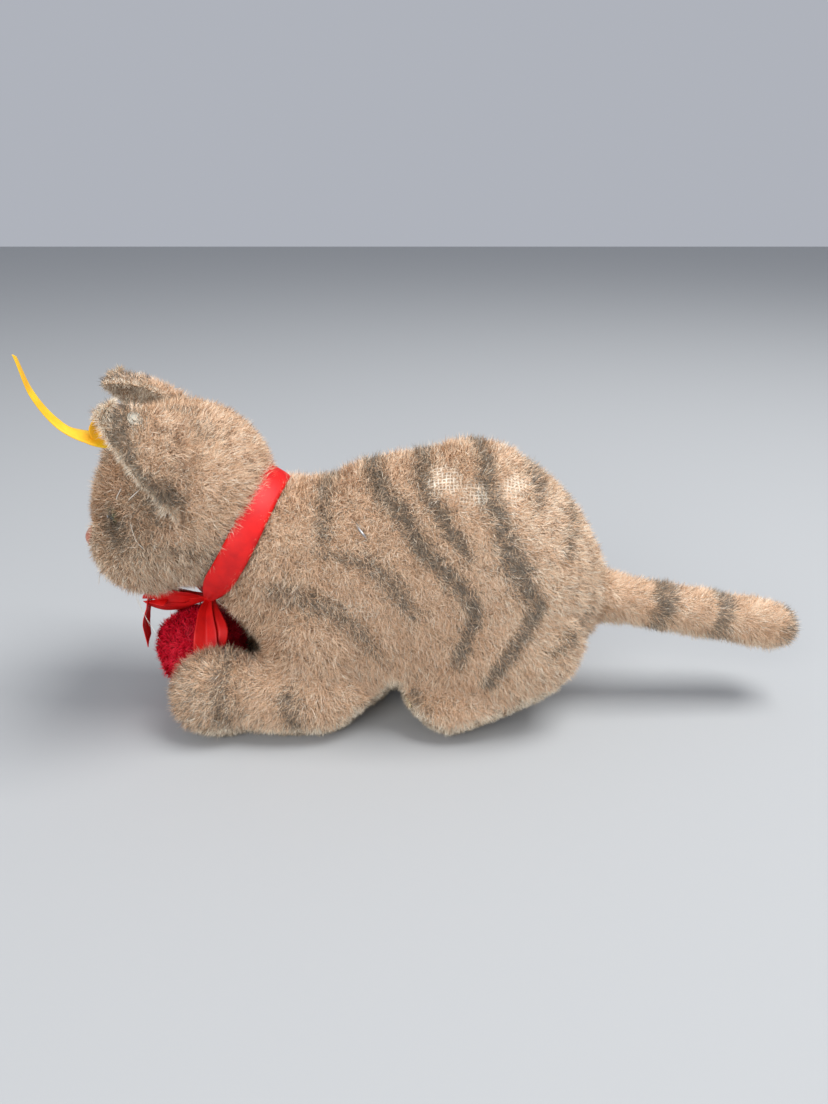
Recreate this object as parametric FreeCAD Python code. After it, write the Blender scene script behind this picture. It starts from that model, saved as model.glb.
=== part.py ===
"""Plush cat lying down with a red wool ball between its paws.

Frame: millimetres, +Z up, the table at Z = 0, the cat faces -Y and its left side is +X.
The origin is in the middle of the flat belly that rests on the table.
"""
import FreeCAD, Part
import math
import os

os.makedirs("parts", exist_ok=True)
V = FreeCAD.Vector

# ---------------------------------------------------------------- driving dimensions
CLOTH = 2.5             # mohair cloth: woven backing with its brushed-down pile
SEAM_HEIGHT = 9.0       # height of the seam between the side panels and the belly gusset
SLACK = 0.4             # room between two pieces that only touch
TOUCH = 0.05            # gap under things sewn or glued onto the cloth
THREAD_RADIUS = 0.3

# Torso sections from the neck to the rump:
# centre Y, centre Z, backward tilt of the section in degrees, half width, half height
NECK_CENTRE = V(0, -50.4, 71.0)
NECK_TILT = 30.0
TORSO_SECTIONS = [
    (NECK_CENTRE.y + 0.6, NECK_CENTRE.z - 0.35, NECK_TILT, 22.5, 23.0),
    (-28.0, 58.0, 22.0, 27.5, 37.0),
    (0.0, 48.5, 4.0, 30.0, 50.0),
    (22.0, 50.7, 0.0, 31.0, 52.0),
    (43.0, 52.5, 0.0, 31.5, 49.8),
    (59.0, 48.5, 10.0, 29.0, 37.5),
    (69.0, 43.0, 17.0, 22.0, 27.0),
    (79.2, 43.5, 11.0, 11.5, 14.0),
    (82.0, 44.3, 10.5, 7.0, 8.5),
]

SECTION_POINTS = 16
LOFT_DEGREE = 3

# Limbs, as ellipsoids on the left side: centre X, Y, Z and half sizes in X, Y, Z
LEFT_LIMBS = [
    (19.0, 41.0, 35.0, 14.5, 32.0, 30.5),     # thigh
    (24.0, 29.5, 11.0, 10.5, 21.5, 13.0),     # hind foot
    (18.0, -23.0, 36.0, 14.0, 19.0, 28.0),    # upper foreleg
    (22.5, -32.0, 14.5, 12.5, 29.0, 16.5),    # forearm
    (23.5, -59.5, 15.5, 12.0, 17.0, 17.5),    # front paw
]

# Head, in its own axes before it is turned: X to its left, -Y forward, Z up
HEAD_CENTRE = V(0, -70.5, 86.5)
HEAD_TURN = 15.0        # the head is set on turned this far to its left, degrees
SKULL_RADIUS = 31.6
MUZZLE = (0.0, -16.5, -17.0, 20.0, 18.0, 17.5)
CROWN_GUSSET_HALF_WIDTH = 9.0
CROWN_GUSSET_LOW = -9.0

# Ears: three corners on the left side in head axes
EAR_TIP = V(29.8, -21.5, 35.5)
EAR_LOW = V(31.5, -3.0, 0.5)
EAR_BACK = V(16.5, 6.0, 25.5)
EAR_BULGE_RADIUS = 34.0
EAR_BACK_CLOTH = 3.0
EAR_LINING_CLOTH = 2.0
EAR_CLEARANCE = 1.8     # between the ear and the head, so that the ear can flex
EAR_FRONT_BULGE = 3.0   # how far the front edge bows out between its corners
EAR_BACK_BULGE = 4.0
EAR_BLUNT = 2.0         # half width of the blunt tip on the front side, twice that on the back side
EAR_TIP_CROWN = 1.5
EAR_ROOT = 8.0          # how far the outline runs on into the head
EAR_REACH = 20.0        # half depth of the block that trims the ear to its outline

EYE_PLACE = V(17.0, -26.0, -1.0)
EYE_RADIUS = 4.3
EYE_DEPTH = 2.4
SHANK_RADIUS = 0.5
SHANK_LENGTH = 9.0
NOSE_SIZE = (4.8, 2.2, 3.4)
NOSE_HEIGHT = 8.0       # angle of the nose above the middle of the muzzle, degrees
WHISKER_RADIUS = 0.2
WHISKER_LENGTH = 20.0
WHISKER_ROOT = 0.5      # from the cloth to the middle of a bristle's root
WHISKER_BACK = 0.12     # how far the bristles lean forward, as a share of their length
WHISKER_BOW = 0.8
# turn and height of the root on the muzzle, and rise of the bristle, in degrees
WHISKERS = [(38, 2, 10), (46, -8, -4), (40, -20, -18), (52, -28, -34)]
# mouth: heights of the stitch under the nose, then turn and height of the stitches that spread, degrees
MOUTH_STEM = [-7.0, -13.0, -19.0]
MOUTH_SPREAD = [(4.0, -22.0), (12.0, -28.0), (22.0, -30.0)]

# Swivel neck: fibreboard discs, steel washers and one cotter pin
DISC_RADIUS = 17.0
DISC_THICKNESS = 2.5
WASHER_RADIUS = 5.0
WASHER_THICKNESS = 0.8
PIN_RADIUS = 1.1
PIN_HOLE_RADIUS = 1.5
NECK_GAP = 0.5          # half of the gap between the head's and the body's neck cloth
PIN_LENGTH = 8.0        # from the neck centre to the end of the pin's straight shank
PIN_EYE_RADIUS = 1.9
PIN_EYE_WIRE = 0.9
PIN_LEG_RADIUS = 0.6
PIN_LEG_REACH = 4.2
PIN_LEG_DROP = 1.4      # from the washer to the middle of the bent legs
PIN_LEG_ROOM = 3.5      # hollow in the stuffing below the washer
PIN_LEG_SIDE_ROOM = 1.5
PIN_LEG_START = 1.5 * PIN_LEG_RADIUS  # behind the washer
PIN_EYE_ROOM = 5.0      # hollow in the stuffing above the shank

RIBBON_RADIUS = 25.8
RIBBON_THICKNESS = 0.6
RIBBON_WIDTH = 10.0

KNOT_DROP = 4.2         # from the ribbon to the middle of the knot
KNOT_SIZE = (3.6, 3.0, 2.9)
KNOT_THREAD_RADIUS = 3.4
BOW_LOOP_LENGTH = 17.0
BOW_LOOP_HEIGHT = 6.0
NEAR_TAIL_WIDTH = 8.0
FRONT_TAIL_WIDTH = 6.0
# each loop of the bow: where it starts from the knot, where it points, and its flat direction
FRONT_LOOP = (V(3.5, -3.4, 0), V(0.35, -0.9, -0.1), V(0.15, 0, 1))
FAR_LOOP = (V(-4.8, -1.5, 0), V(-0.85, -0.5, -0.1), V(0, 0.1, 1))
# each tail of the bow: places from the knot, with the width direction and the face normal there
NEAR_TAIL = [(V(4.6, 2.0, -2.5), V(0, -1, 0), V(0.7, 0, 0.7)),
             (V(11.0, 2.0, -6.0), V(0, -1, 0), V(0.9, 0, 0.45)),
             (V(16.5, 2.0, -12.0), V(0, -1, 0), V(1, 0, 0.2))]
FRONT_TAIL = [(V(-2.5, -3.5, -1.5), V(1, 0, 0), V(0, 0, 1)),
              (V(-3.5, -12.5, -3.0), V(1, 0, 0), V(0, -0.5, 1)),
              (V(-0.5, -21.0, -9.0), V(1, 0, 0), V(0, -1, 0.3)),
              (V(2.5, -23.0, -17.0), V(1, 0, 0), V(0, -1, 0))]

# Rivet and tag in the left ear, in head axes
RIVET_PLACE = V(29.1, -12.9, 34.6)
RIVET_RADIUS = 1.0
RIVET_HEAD_RADIUS = 2.5
RIVET_HEAD_HEIGHT = 0.8
RIVET_HEAD_DROP = 1.8   # from the ear's lining to the middle of the rivet's head
RIVET_PROUD = 0.7       # shank end that stands out of the back of the ear
RIVET_WASHER_HEIGHT = 0.4
# the tag inside the ear: distance along it from the rivet, and distance from the middle of the ear's sphere
TAG_COURSE = [(-3.0, 27.9), (2.0, 28.0), (7.3, 27.2)]
TAG_RIM = V(27.8, -21.4, 28.8)
# the tag beyond the ear's rim, and how far it has twisted towards its end at each station
TAG_OUTSIDE = [V(28.4, -27.5, 29.8), V(26.5, -35.8, 34.3), V(25.4, -42.0, 43.5), V(25.0, -45.0, 54.5)]
TAG_TWIST = [0.0, 0.0, 0.0, 0.3, 0.65, 0.9, 1.0]
TAG_END_ACROSS = V(0.9, 0.2, 0.35)
TAG_WIDTH = 8.0
TAG_THICKNESS = 0.4
TAG_HOLE_SLACK = 0.3

BALL_CENTRE = V(0, -71.0, 22.5)
BALL_RADIUS = 17.5
BALL_WOOL = 4.0
BALL_STITCH_START = 1.0  # from the inside of the wool cover
BALL_STITCH_LENGTH = 4.0
BALL_STITCH_BACK = 5.0  # behind the middle of the ball
BALL_STITCH_HEIGHTS = [-6.0, 0.0]

# Tail: straight, drooping slightly, in three lengths that bend against each other
TAIL_ROOT = V(0, 83.6, 44.6)
TAIL_DROOP = 10.7
TAIL_RADIUS = 7.4
TAIL_CLOTH = 2.0
TAIL_GAP = 3.4
TAIL_PITCH = 26.0       # from one bend to the next
TAIL_LENGTH = 75.6
TAIL_WIRE_RADIUS = 0.8
TAIL_PARTS = ["base", "middle", "tip"]

# Seam that closed the body, on its right side
CLOSING_START = -14.0
CLOSING_PITCH = 3.5
CLOSING_COUNT = 6
CLOSING_REACH = 2.2     # half height of one stitch
STITCH_PROUD = 0.25
STITCH_BURIED = -0.6

# Bent wire in the left flank: Y, Z and how far out of the cloth
STAPLE_COURSE = [(-7.6, 82.0, -1.2), (-7.0, 81.0, 1.0), (-4.6, 78.6, 1.2), (-4.2, 76.6, -1.2)]
STAPLE_RADIUS = 0.45

BIG = 400.0


# ---------------------------------------------------------------- helpers
def save(shape, name):
    """Write one node, keeping a single solid as a plain solid."""
    if len(shape.Solids) == 1:
        shape = shape.Solids[0]
    shape.exportStep("parts/%s.step" % name)


def ellipsoid(x, y, z, rx, ry, rz):
    """Ellipsoid at a centre with three half sizes."""
    scale = FreeCAD.Matrix()
    scale.scale(V(rx, ry, rz))
    ball = Part.makeSphere(1.0).transformGeometry(scale)
    ball.translate(V(x, y, z))
    return ball


def block(x0, y0, z0, x1, y1, z1):
    """Box between two corners."""
    return Part.makeBox(x1 - x0, y1 - y0, z1 - z0, V(x0, y0, z0))


def largest(shape):
    """Largest solid of a shape."""
    return max(shape.Solids, key=lambda solid: solid.Volume)


def fuse(shapes):
    """One clean shape from several."""
    return shapes[0].multiFuse(shapes[1:]).removeSplitter()


def direction(tilt):
    """Unit vector that points back and down by the tilt in degrees."""
    angle = math.radians(tilt)
    return V(0, math.cos(angle), -math.sin(angle))


NECK_AXIS = direction(NECK_TILT).negative()


def on_neck(distance):
    """Point on the neck axis, positive towards the head."""
    return NECK_CENTRE + NECK_AXIS * distance


def neck_cylinder(radius, start, end):
    """Cylinder about the neck axis between two distances from the neck centre."""
    return Part.makeCylinder(radius, end - start, on_neck(start), NECK_AXIS)


def place_head(shape):
    """Turn a shape from head axes and put it on the neck."""
    placed = shape.copy()
    placed.rotate(V(0, 0, 0), V(0, 0, 1), HEAD_TURN)
    placed.translate(HEAD_CENTRE)
    return placed


def mirrored(shape):
    """The same shape on the other side of the plane X = 0."""
    return shape.mirror(V(0, 0, 0), V(1, 0, 0))


def surface_x(solid, side, y, z):
    """Outermost X of a solid on one side, at one Y and Z."""
    line = Part.makeLine(V(0, y, z), V(side * BIG, y, z))
    hit = solid.common(line).BoundBox
    return hit.XMax if side > 0 else hit.XMin


# ---------------------------------------------------------------- body
def torso(inset):
    """Smooth lofted torso, smaller by an inset all round."""
    wires = []
    last = len(TORSO_SECTIONS) - 1
    for index, (y, z, tilt, half_width, half_height) in enumerate(TORSO_SECTIONS):
        along = direction(tilt)
        centre = V(0, y, z)
        if index == 0:
            centre = centre + along * inset
        if index == last:
            centre = centre - along * inset
        up = V(1, 0, 0).cross(along)
        points = []
        for step in range(SECTION_POINTS):
            angle = 2 * math.pi * (step + 0.5) / SECTION_POINTS
            points.append(centre + V(1, 0, 0) * ((half_width - inset) * math.cos(angle))
                          + up * ((half_height - inset) * math.sin(angle)))
        curve = Part.BSplineCurve()
        curve.interpolate(points, PeriodicFlag=True)
        edge = curve.toShape()
        wires.append(Part.Wire(edge))
    return Part.makeLoft(wires, True, False, False, LOFT_DEGREE)


def half_space(side):
    """Large block on the left (1) or on the right (-1) of the plane X = 0."""
    near, far = (0, BIG) if side > 0 else (-BIG, 0)
    return block(near, -BIG, -BIG, far, BIG, BIG)


def body_side(inset, side):
    """Half of the torso with its limbs: side is 1 on the left and -1 on the right."""
    form = torso(inset).common(half_space(side))
    for x, y, z, rx, ry, rz in LEFT_LIMBS:
        form = form.fuse(ellipsoid(side * x, y, z, rx - inset, ry - inset, rz - inset))
    below = block(-BIG, -BIG, -BIG, BIG, BIG, inset)
    ball_room = Part.makeSphere(BALL_RADIUS + SLACK + inset, BALL_CENTRE)
    groove = neck_cylinder(BIG, -RIBBON_WIDTH / 2 - SLACK - inset, BIG).cut(
        neck_cylinder(RIBBON_RADIUS - SLACK - inset, -BIG, 2 * BIG))
    near_neck = Part.makeSphere(2 * DISC_RADIUS, NECK_CENTRE)
    front = neck_cylinder(BIG, -NECK_GAP - inset, BIG).common(near_neck)
    return form.cut(below).cut(ball_room).cut(groove.common(near_neck)).cut(front)


def make_body():
    """Three mohair panels, the stuffing, and the seam that closed it."""
    pin_room = neck_cylinder(PIN_HOLE_RADIUS, -PIN_LENGTH, PIN_LENGTH)
    under = block(-BIG, -BIG, -BIG, BIG, BIG, SEAM_HEIGHT)
    soles = []
    filling = []
    outers = []
    for side, name in ((1, "left"), (-1, "right")):
        outer = body_side(0, side)
        inner = body_side(CLOTH, side)
        cover = outer.cut(inner).cut(pin_room)
        save(cover.cut(under), "body_%s_panel" % name)
        soles.append(cover.common(under))
        filling.append(inner)
        outers.append(outer)
    save(soles[0].fuse(soles[1]).removeSplitter(), "belly_gusset")
    disc_end = NECK_GAP + CLOTH + DISC_THICKNESS + WASHER_THICKNESS + SLACK
    disc_room = neck_cylinder(DISC_RADIUS + SLACK, -disc_end, 0)
    leg_room = neck_cylinder(WASHER_RADIUS + PIN_LEG_SIDE_ROOM, -disc_end - PIN_LEG_ROOM, 0)
    stuffing = filling[0].fuse(filling[1]).removeSplitter()
    save(stuffing.cut(disc_room).cut(leg_room), "body_stuffing")
    make_closing_stitches(outers[1])
    make_side_staple(outers[0])


def make_closing_stitches(outer):
    """Ladder of hand stitches across the right seam between elbow and hind foot."""
    stitches = []
    for index in range(CLOSING_COUNT):
        y = CLOSING_START + index * CLOSING_PITCH
        points = []
        for height, proud in ((-CLOSING_REACH, STITCH_BURIED), (0.0, STITCH_PROUD), (CLOSING_REACH, STITCH_BURIED)):
            z = SEAM_HEIGHT + height
            points.append(V(surface_x(outer, -1, y, z) - proud, y, z))
        stitches.append(tube(points, THREAD_RADIUS))
    save(Part.makeCompound(stitches), "closing_stitches")


def make_side_staple(outer):
    """Small bent wire caught in the left flank behind the shoulder."""
    points = []
    for y, z, proud in STAPLE_COURSE:
        points.append(V(surface_x(outer, 1, y, z) + proud, y, z))
    save(tube(points, STAPLE_RADIUS), "side_wire_staple")


# ---------------------------------------------------------------- head
def head_form(inset):
    """Skull and muzzle, closed at the neck and cut back around the ribbon."""
    x, y, z, rx, ry, rz = MUZZLE
    form = fuse([Part.makeSphere(SKULL_RADIUS - inset),
                 ellipsoid(x, y, z, rx - inset, ry - inset, rz - inset)])
    form = place_head(form)
    behind = neck_cylinder(BIG, -BIG, NECK_GAP + inset)
    ribbon_room = neck_cylinder(BIG, -BIG, RIBBON_WIDTH / 2 + SLACK + inset).cut(
        neck_cylinder(RIBBON_RADIUS - SLACK - inset, -BIG, BIG))
    return form.cut(behind).cut(ribbon_room)


def make_head():
    """Two side panels, a crown gusset and the stuffing."""
    outer = head_form(0)
    inner = head_form(CLOTH)
    pin_room = neck_cylinder(PIN_HOLE_RADIUS, -PIN_LENGTH, PIN_LENGTH)
    disc_end = NECK_GAP + CLOTH + DISC_THICKNESS + WASHER_THICKNESS + SLACK
    disc_room = neck_cylinder(DISC_RADIUS + SLACK, NECK_GAP + CLOTH, disc_end)
    cover = outer.cut(inner).cut(pin_room).cut(disc_room)
    half_width = CROWN_GUSSET_HALF_WIDTH
    crown = place_head(block(-half_width, -BIG, CROWN_GUSSET_LOW, half_width, BIG, BIG))
    save(cover.common(crown), "head_crown_gusset")
    sides = cover.cut(crown)
    save(sides.common(place_head(half_space(1))), "head_left_panel")
    save(sides.common(place_head(half_space(-1))), "head_right_panel")
    eye_room = neck_cylinder(WASHER_RADIUS, 0, PIN_LENGTH + PIN_EYE_ROOM)
    save(inner.cut(disc_room).cut(eye_room), "head_stuffing")


def ear_frame():
    """Centre of the sphere that the left ear bulges on, and the ear's inward normal."""
    low_to_tip = EAR_TIP - EAR_LOW
    low_to_back = EAR_BACK - EAR_LOW
    inward = (low_to_back.cross(low_to_tip)).normalize()
    if inward.x > 0:
        inward = inward.negative()
    circle = Part.Circle(EAR_LOW, EAR_TIP, EAR_BACK)
    depth = math.sqrt(EAR_BULGE_RADIUS ** 2 - circle.Radius ** 2)
    return circle.Center + inward * depth, inward


def ear_outline(inward):
    """Rounded triangle of the left ear, running on into the head."""
    middle = (EAR_LOW + EAR_BACK) * 0.5
    forward = (EAR_LOW - EAR_BACK).normalize()
    rootward = (middle - EAR_TIP).normalize()
    front_bulge = (EAR_TIP + EAR_LOW) * 0.5 + forward * EAR_FRONT_BULGE
    back_bulge = (EAR_TIP + EAR_BACK) * 0.5 - forward * EAR_BACK_BULGE
    front_tip = EAR_TIP + forward * EAR_BLUNT
    back_tip = EAR_TIP - forward * EAR_BLUNT * 2.0
    top = EAR_TIP - rootward * EAR_TIP_CROWN
    low_root = EAR_LOW + rootward * EAR_ROOT
    back_root = EAR_BACK + rootward * EAR_ROOT
    edges = [Part.Arc(EAR_LOW, front_bulge, front_tip).toShape(),
             Part.Arc(front_tip, top, back_tip).toShape(),
             Part.Arc(back_tip, back_bulge, EAR_BACK).toShape(),
             Part.makeLine(EAR_BACK, back_root),
             Part.makeLine(back_root, low_root),
             Part.makeLine(low_root, EAR_LOW)]
    face = Part.Face(Part.Wire(edges))
    face.translate(inward * -EAR_REACH)
    return face.extrude(inward * EAR_REACH * 2.0)


def make_ears():
    """Each ear is a mohair back and a thin lining, cupped, standing off the head."""
    centre, inward = ear_frame()
    prism = ear_outline(inward)
    head_room = Part.makeSphere(SKULL_RADIUS + EAR_CLEARANCE)
    layers = [("back", 0.0, EAR_BACK_CLOTH), ("lining", EAR_BACK_CLOTH, EAR_BACK_CLOTH + EAR_LINING_CLOTH)]
    for layer, start, end in layers:
        shell = Part.makeSphere(EAR_BULGE_RADIUS - start, centre).cut(
            Part.makeSphere(EAR_BULGE_RADIUS - end, centre))
        ear = shell.common(prism).cut(head_room)
        left = ear.cut(rivet_shank(centre, RIVET_RADIUS + TOUCH))
        save(place_head(left), "ear_left_%s" % layer)
        save(place_head(mirrored(ear)), "ear_right_%s" % layer)


def rivet_line(centre):
    """Outward direction of the rivet in the left ear."""
    return (RIVET_PLACE - centre).normalize()


def rivet_shank(centre, radius):
    """Cylinder along the rivet, through both layers of the ear."""
    outward = rivet_line(centre)
    thickness = EAR_BACK_CLOTH + EAR_LINING_CLOTH
    start = centre + outward * (EAR_BULGE_RADIUS - thickness - RIVET_HEAD_DROP)
    return Part.makeCylinder(radius, thickness + RIVET_HEAD_DROP + RIVET_PROUD, start, outward)


def make_rivet_and_tag():
    """Plain rivet through the left ear, its washer, and a plain woven tag under its head."""
    centre = ear_frame()[0]
    outward = rivet_line(centre)
    inner_radius = EAR_BULGE_RADIUS - EAR_BACK_CLOTH - EAR_LINING_CLOTH
    cap_base = centre + outward * (inner_radius - RIVET_HEAD_DROP - RIVET_HEAD_HEIGHT / 2)
    cap = Part.makeCylinder(RIVET_HEAD_RADIUS, RIVET_HEAD_HEIGHT, cap_base, outward)
    shank = rivet_shank(centre, RIVET_RADIUS - TOUCH)
    save(place_head(cap.fuse(shank).removeSplitter()), "ear_rivet")
    washer_base = centre + outward * (EAR_BULGE_RADIUS + TOUCH)
    washer = Part.makeCylinder(RIVET_HEAD_RADIUS, RIVET_WASHER_HEIGHT, washer_base, outward)
    save(place_head(washer.cut(rivet_shank(centre, RIVET_RADIUS))), "rivet_washer")
    towards = TAG_RIM - centre
    along = (towards - outward * towards.dot(outward)).normalize()
    across = outward.cross(along)
    course = [centre + along * distance + outward * height for distance, height in TAG_COURSE] + TAG_OUTSIDE
    stations = []
    for index, place in enumerate(course):
        tangent = course[min(index + 1, len(course) - 1)] - course[max(index - 1, 0)]
        width_line = across * (1.0 - TAG_TWIST[index]) + TAG_END_ACROSS * TAG_TWIST[index]
        stations.append((place, width_line, tangent.cross(width_line)))
    tag = band(stations, TAG_WIDTH, TAG_THICKNESS)
    save(place_head(tag.cut(rivet_shank(centre, RIVET_RADIUS + TAG_HOLE_SLACK))), "ear_tag")


def on_muzzle(turn, height, proud):
    """Point of the muzzle at a turn to the left and a height, both in degrees."""
    x, y, z, rx, ry, rz = MUZZLE
    side = math.radians(turn)
    rise = math.radians(height)
    return V(x + (rx + proud) * math.cos(rise) * math.sin(side),
             y - (ry + proud) * math.cos(rise) * math.cos(side),
             z + (rz + proud) * math.sin(rise))


def make_face():
    """Glass eyes on wire shanks, embroidered nose and mouth, nylon whiskers."""
    x, y, z, rx, ry, rz = MUZZLE
    clear = fuse([Part.makeSphere(SKULL_RADIUS + TOUCH),
                  ellipsoid(x, y, z, rx + TOUCH, ry + TOUCH, rz + TOUCH)])
    outward = V(EYE_PLACE).normalize()
    eye = ellipsoid(0, 0, 0, EYE_RADIUS, EYE_RADIUS, EYE_DEPTH)
    eye.Placement = FreeCAD.Placement(outward * (SKULL_RADIUS + TOUCH),
                                      FreeCAD.Rotation(V(0, 0, 1), outward))
    eye = eye.cut(clear)
    shank = Part.makeCylinder(SHANK_RADIUS, SHANK_LENGTH,
                              outward * (SKULL_RADIUS - SHANK_LENGTH), outward)
    save(place_head(eye), "eye_left")
    save(place_head(mirrored(eye)), "eye_right")
    save(place_head(shank), "eye_left_shank")
    save(place_head(mirrored(shank)), "eye_right_shank")
    nose_centre = on_muzzle(0, NOSE_HEIGHT, 0)
    nose = ellipsoid(nose_centre.x, nose_centre.y, nose_centre.z, *NOSE_SIZE).cut(clear)
    save(place_head(nose), "nose_embroidery")
    make_mouth()
    make_whiskers()


def make_mouth():
    """One stitch down from the nose and two that spread below it."""
    proud = THREAD_RADIUS + TOUCH
    strokes = [tube([on_muzzle(0, height, proud) for height in MOUTH_STEM], THREAD_RADIUS)]
    for side in (-1, 1):
        points = [on_muzzle(side * turn, height, proud) for turn, height in MOUTH_SPREAD]
        strokes.append(tube(points, THREAD_RADIUS))
    save(place_head(Part.makeCompound(strokes)), "mouth_embroidery")


def make_whiskers():
    """Stiff nylon bristles fanned out of each side of the muzzle."""
    bristles = []
    for turn, height, rise in WHISKERS:
        start = on_muzzle(turn, height, WHISKER_ROOT)
        angle = math.radians(rise)
        along = V(math.cos(angle), -WHISKER_BACK, math.sin(angle)).normalize()
        middle = start + along * (WHISKER_LENGTH / 2) + V(0, 0, WHISKER_BOW)
        bristles.append(tube([start, middle, start + along * WHISKER_LENGTH], WHISKER_RADIUS))
    left = Part.makeCompound(bristles)
    save(place_head(left), "whiskers_left")
    save(place_head(mirrored(left)), "whiskers_right")


# ---------------------------------------------------------------- neck
def make_neck():
    """Two fibreboard discs and two washers held together by a cotter pin."""
    hole = neck_cylinder(PIN_HOLE_RADIUS, -2 * PIN_LENGTH, 2 * PIN_LENGTH)
    disc_start = NECK_GAP + CLOTH + SLACK / 2
    washer_start = disc_start + DISC_THICKNESS
    washer_end = washer_start + WASHER_THICKNESS
    head_disc = neck_cylinder(DISC_RADIUS, disc_start, washer_start)
    head_washer = neck_cylinder(WASHER_RADIUS, washer_start, washer_end)
    body_disc = neck_cylinder(DISC_RADIUS, -washer_start, -disc_start)
    body_washer = neck_cylinder(WASHER_RADIUS, -washer_end, -washer_start)
    save(head_disc.cut(hole), "head_disc")
    save(head_washer.cut(hole), "head_washer")
    save(body_disc.cut(hole), "body_disc")
    save(body_washer.cut(hole), "body_washer")
    leg_start = washer_end + PIN_LEG_START
    shank = neck_cylinder(PIN_RADIUS, -leg_start, PIN_LENGTH)
    sideways = V(1, 0, 0)
    eye = Part.makeTorus(PIN_EYE_RADIUS, PIN_EYE_WIRE, on_neck(PIN_LENGTH + PIN_EYE_RADIUS), sideways)
    legs = []
    for side in (-1, 1):
        reach = sideways * side * PIN_LEG_REACH
        curl = [on_neck(-leg_start), on_neck(-washer_end - PIN_LEG_DROP) + reach * 0.5, on_neck(-leg_start) + reach]
        legs.append(tube(curl, PIN_LEG_RADIUS))
    save(fuse([shank, eye] + legs), "cotter_pin")


# ---------------------------------------------------------------- ribbon and bow
def tube(points, radius):
    """Round wire or thread along a smooth line through the points."""
    curve = Part.BSplineCurve()
    curve.interpolate(points)
    path = Part.Wire(curve.toShape())
    start = Part.Circle(points[0], curve.tangent(curve.FirstParameter)[0], radius)
    return path.makePipeShell([Part.Wire(start.toShape())], True, True)


def band(stations, width, thickness):
    """Ribbon lofted through stations of a centre, a width direction and a rough face normal."""
    wires = []
    for centre, across, normal in stations:
        across = V(across).normalize()
        up = V(normal) - across * V(normal).dot(across)
        side = across * (width / 2)
        thick = up.normalize() * (thickness / 2)
        corners = [centre + side + thick, centre - side + thick, centre - side - thick,
                   centre + side - thick]
        wires.append(Part.makePolygon(corners + corners[:1]))
    return Part.makeLoft(wires, True, False, False, LOFT_DEGREE)


def make_ribbon():
    """Satin ribbon round the neck, tied in a bow at the throat."""
    half = RIBBON_WIDTH / 2
    ring = neck_cylinder(RIBBON_RADIUS + RIBBON_THICKNESS, -half, half).cut(
        neck_cylinder(RIBBON_RADIUS, -half, half))
    save(ring, "neck_ribbon")
    down = NECK_AXIS.cross(V(1, 0, 0))
    if down.z > 0:
        down = down.negative()
    knot_centre = NECK_CENTRE + down * (RIBBON_RADIUS + RIBBON_THICKNESS + KNOT_DROP)
    save(ellipsoid(knot_centre.x, knot_centre.y, knot_centre.z, *KNOT_SIZE), "bow_knot")
    save(Part.makeTorus(KNOT_THREAD_RADIUS, THREAD_RADIUS, knot_centre, V(1, 0, 0)), "bow_thread")
    front_loop = make_loop(knot_centre, *FRONT_LOOP)
    far_loop = make_loop(knot_centre, *FAR_LOOP)
    save(front_loop, "bow_loop_front")
    save(far_loop, "bow_loop_far")
    near = [(knot_centre + place, across, normal) for place, across, normal in NEAR_TAIL]
    save(largest(band(near, NEAR_TAIL_WIDTH, RIBBON_THICKNESS).cut(front_loop)), "bow_tail_near")
    front = [(knot_centre + place, across, normal) for place, across, normal in FRONT_TAIL]
    loops = front_loop.fuse(far_loop)
    save(largest(band(front, FRONT_TAIL_WIDTH, RIBBON_THICKNESS).cut(loops)), "bow_tail_front")


def make_loop(knot_centre, start, along, up):
    """Flattened open loop of ribbon that leaves the knot in one direction."""
    along = V(along).normalize()
    up = (V(up) - along * V(up).dot(along)).normalize()
    across = along.cross(up)
    turn = FreeCAD.Rotation(along, up, across, "XZY")
    rings = []
    for inset in (0.0, RIBBON_THICKNESS):
        outline = Part.Ellipse(V(0, 0, 0), BOW_LOOP_LENGTH / 2 - inset, BOW_LOOP_HEIGHT / 2 - inset)
        face = Part.Face(Part.Wire(outline.toShape()))
        rings.append(face.extrude(V(0, 0, RIBBON_WIDTH)))
    loop = rings[0].cut(rings[1])
    loop.translate(V(BOW_LOOP_LENGTH / 2, 0, -RIBBON_WIDTH / 2))
    loop.Placement = FreeCAD.Placement(knot_centre + start, turn).multiply(loop.Placement)
    return loop


# ---------------------------------------------------------------- ball
def make_ball():
    """Wool ball between the paws, with its stuffing and the stitches that hold it."""
    outer = Part.makeSphere(BALL_RADIUS, BALL_CENTRE)
    inner = Part.makeSphere(BALL_RADIUS - BALL_WOOL, BALL_CENTRE)
    save(outer.cut(inner), "ball_wool_cover")
    save(inner, "ball_stuffing")
    stitches = []
    for side in (-1, 1):
        for height in BALL_STITCH_HEIGHTS:
            start = BALL_CENTRE + V(side * (BALL_RADIUS - BALL_WOOL + BALL_STITCH_START), BALL_STITCH_BACK,
                                    height)
            stitches.append(Part.makeCylinder(THREAD_RADIUS, BALL_STITCH_LENGTH, start, V(side, 0, 0)))
    save(Part.makeCompound(stitches), "ball_stitches")


# ---------------------------------------------------------------- tail
def tail_solid(radius, start, end, rounded):
    """Length of the tail between two distances from its root, with a round end if asked."""
    along = direction(TAIL_DROOP)
    shape = Part.makeCylinder(radius, end - start, TAIL_ROOT + along * start, along)
    if rounded:
        shape = shape.fuse(Part.makeSphere(radius, TAIL_ROOT + along * end)).removeSplitter()
    return shape


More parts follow.
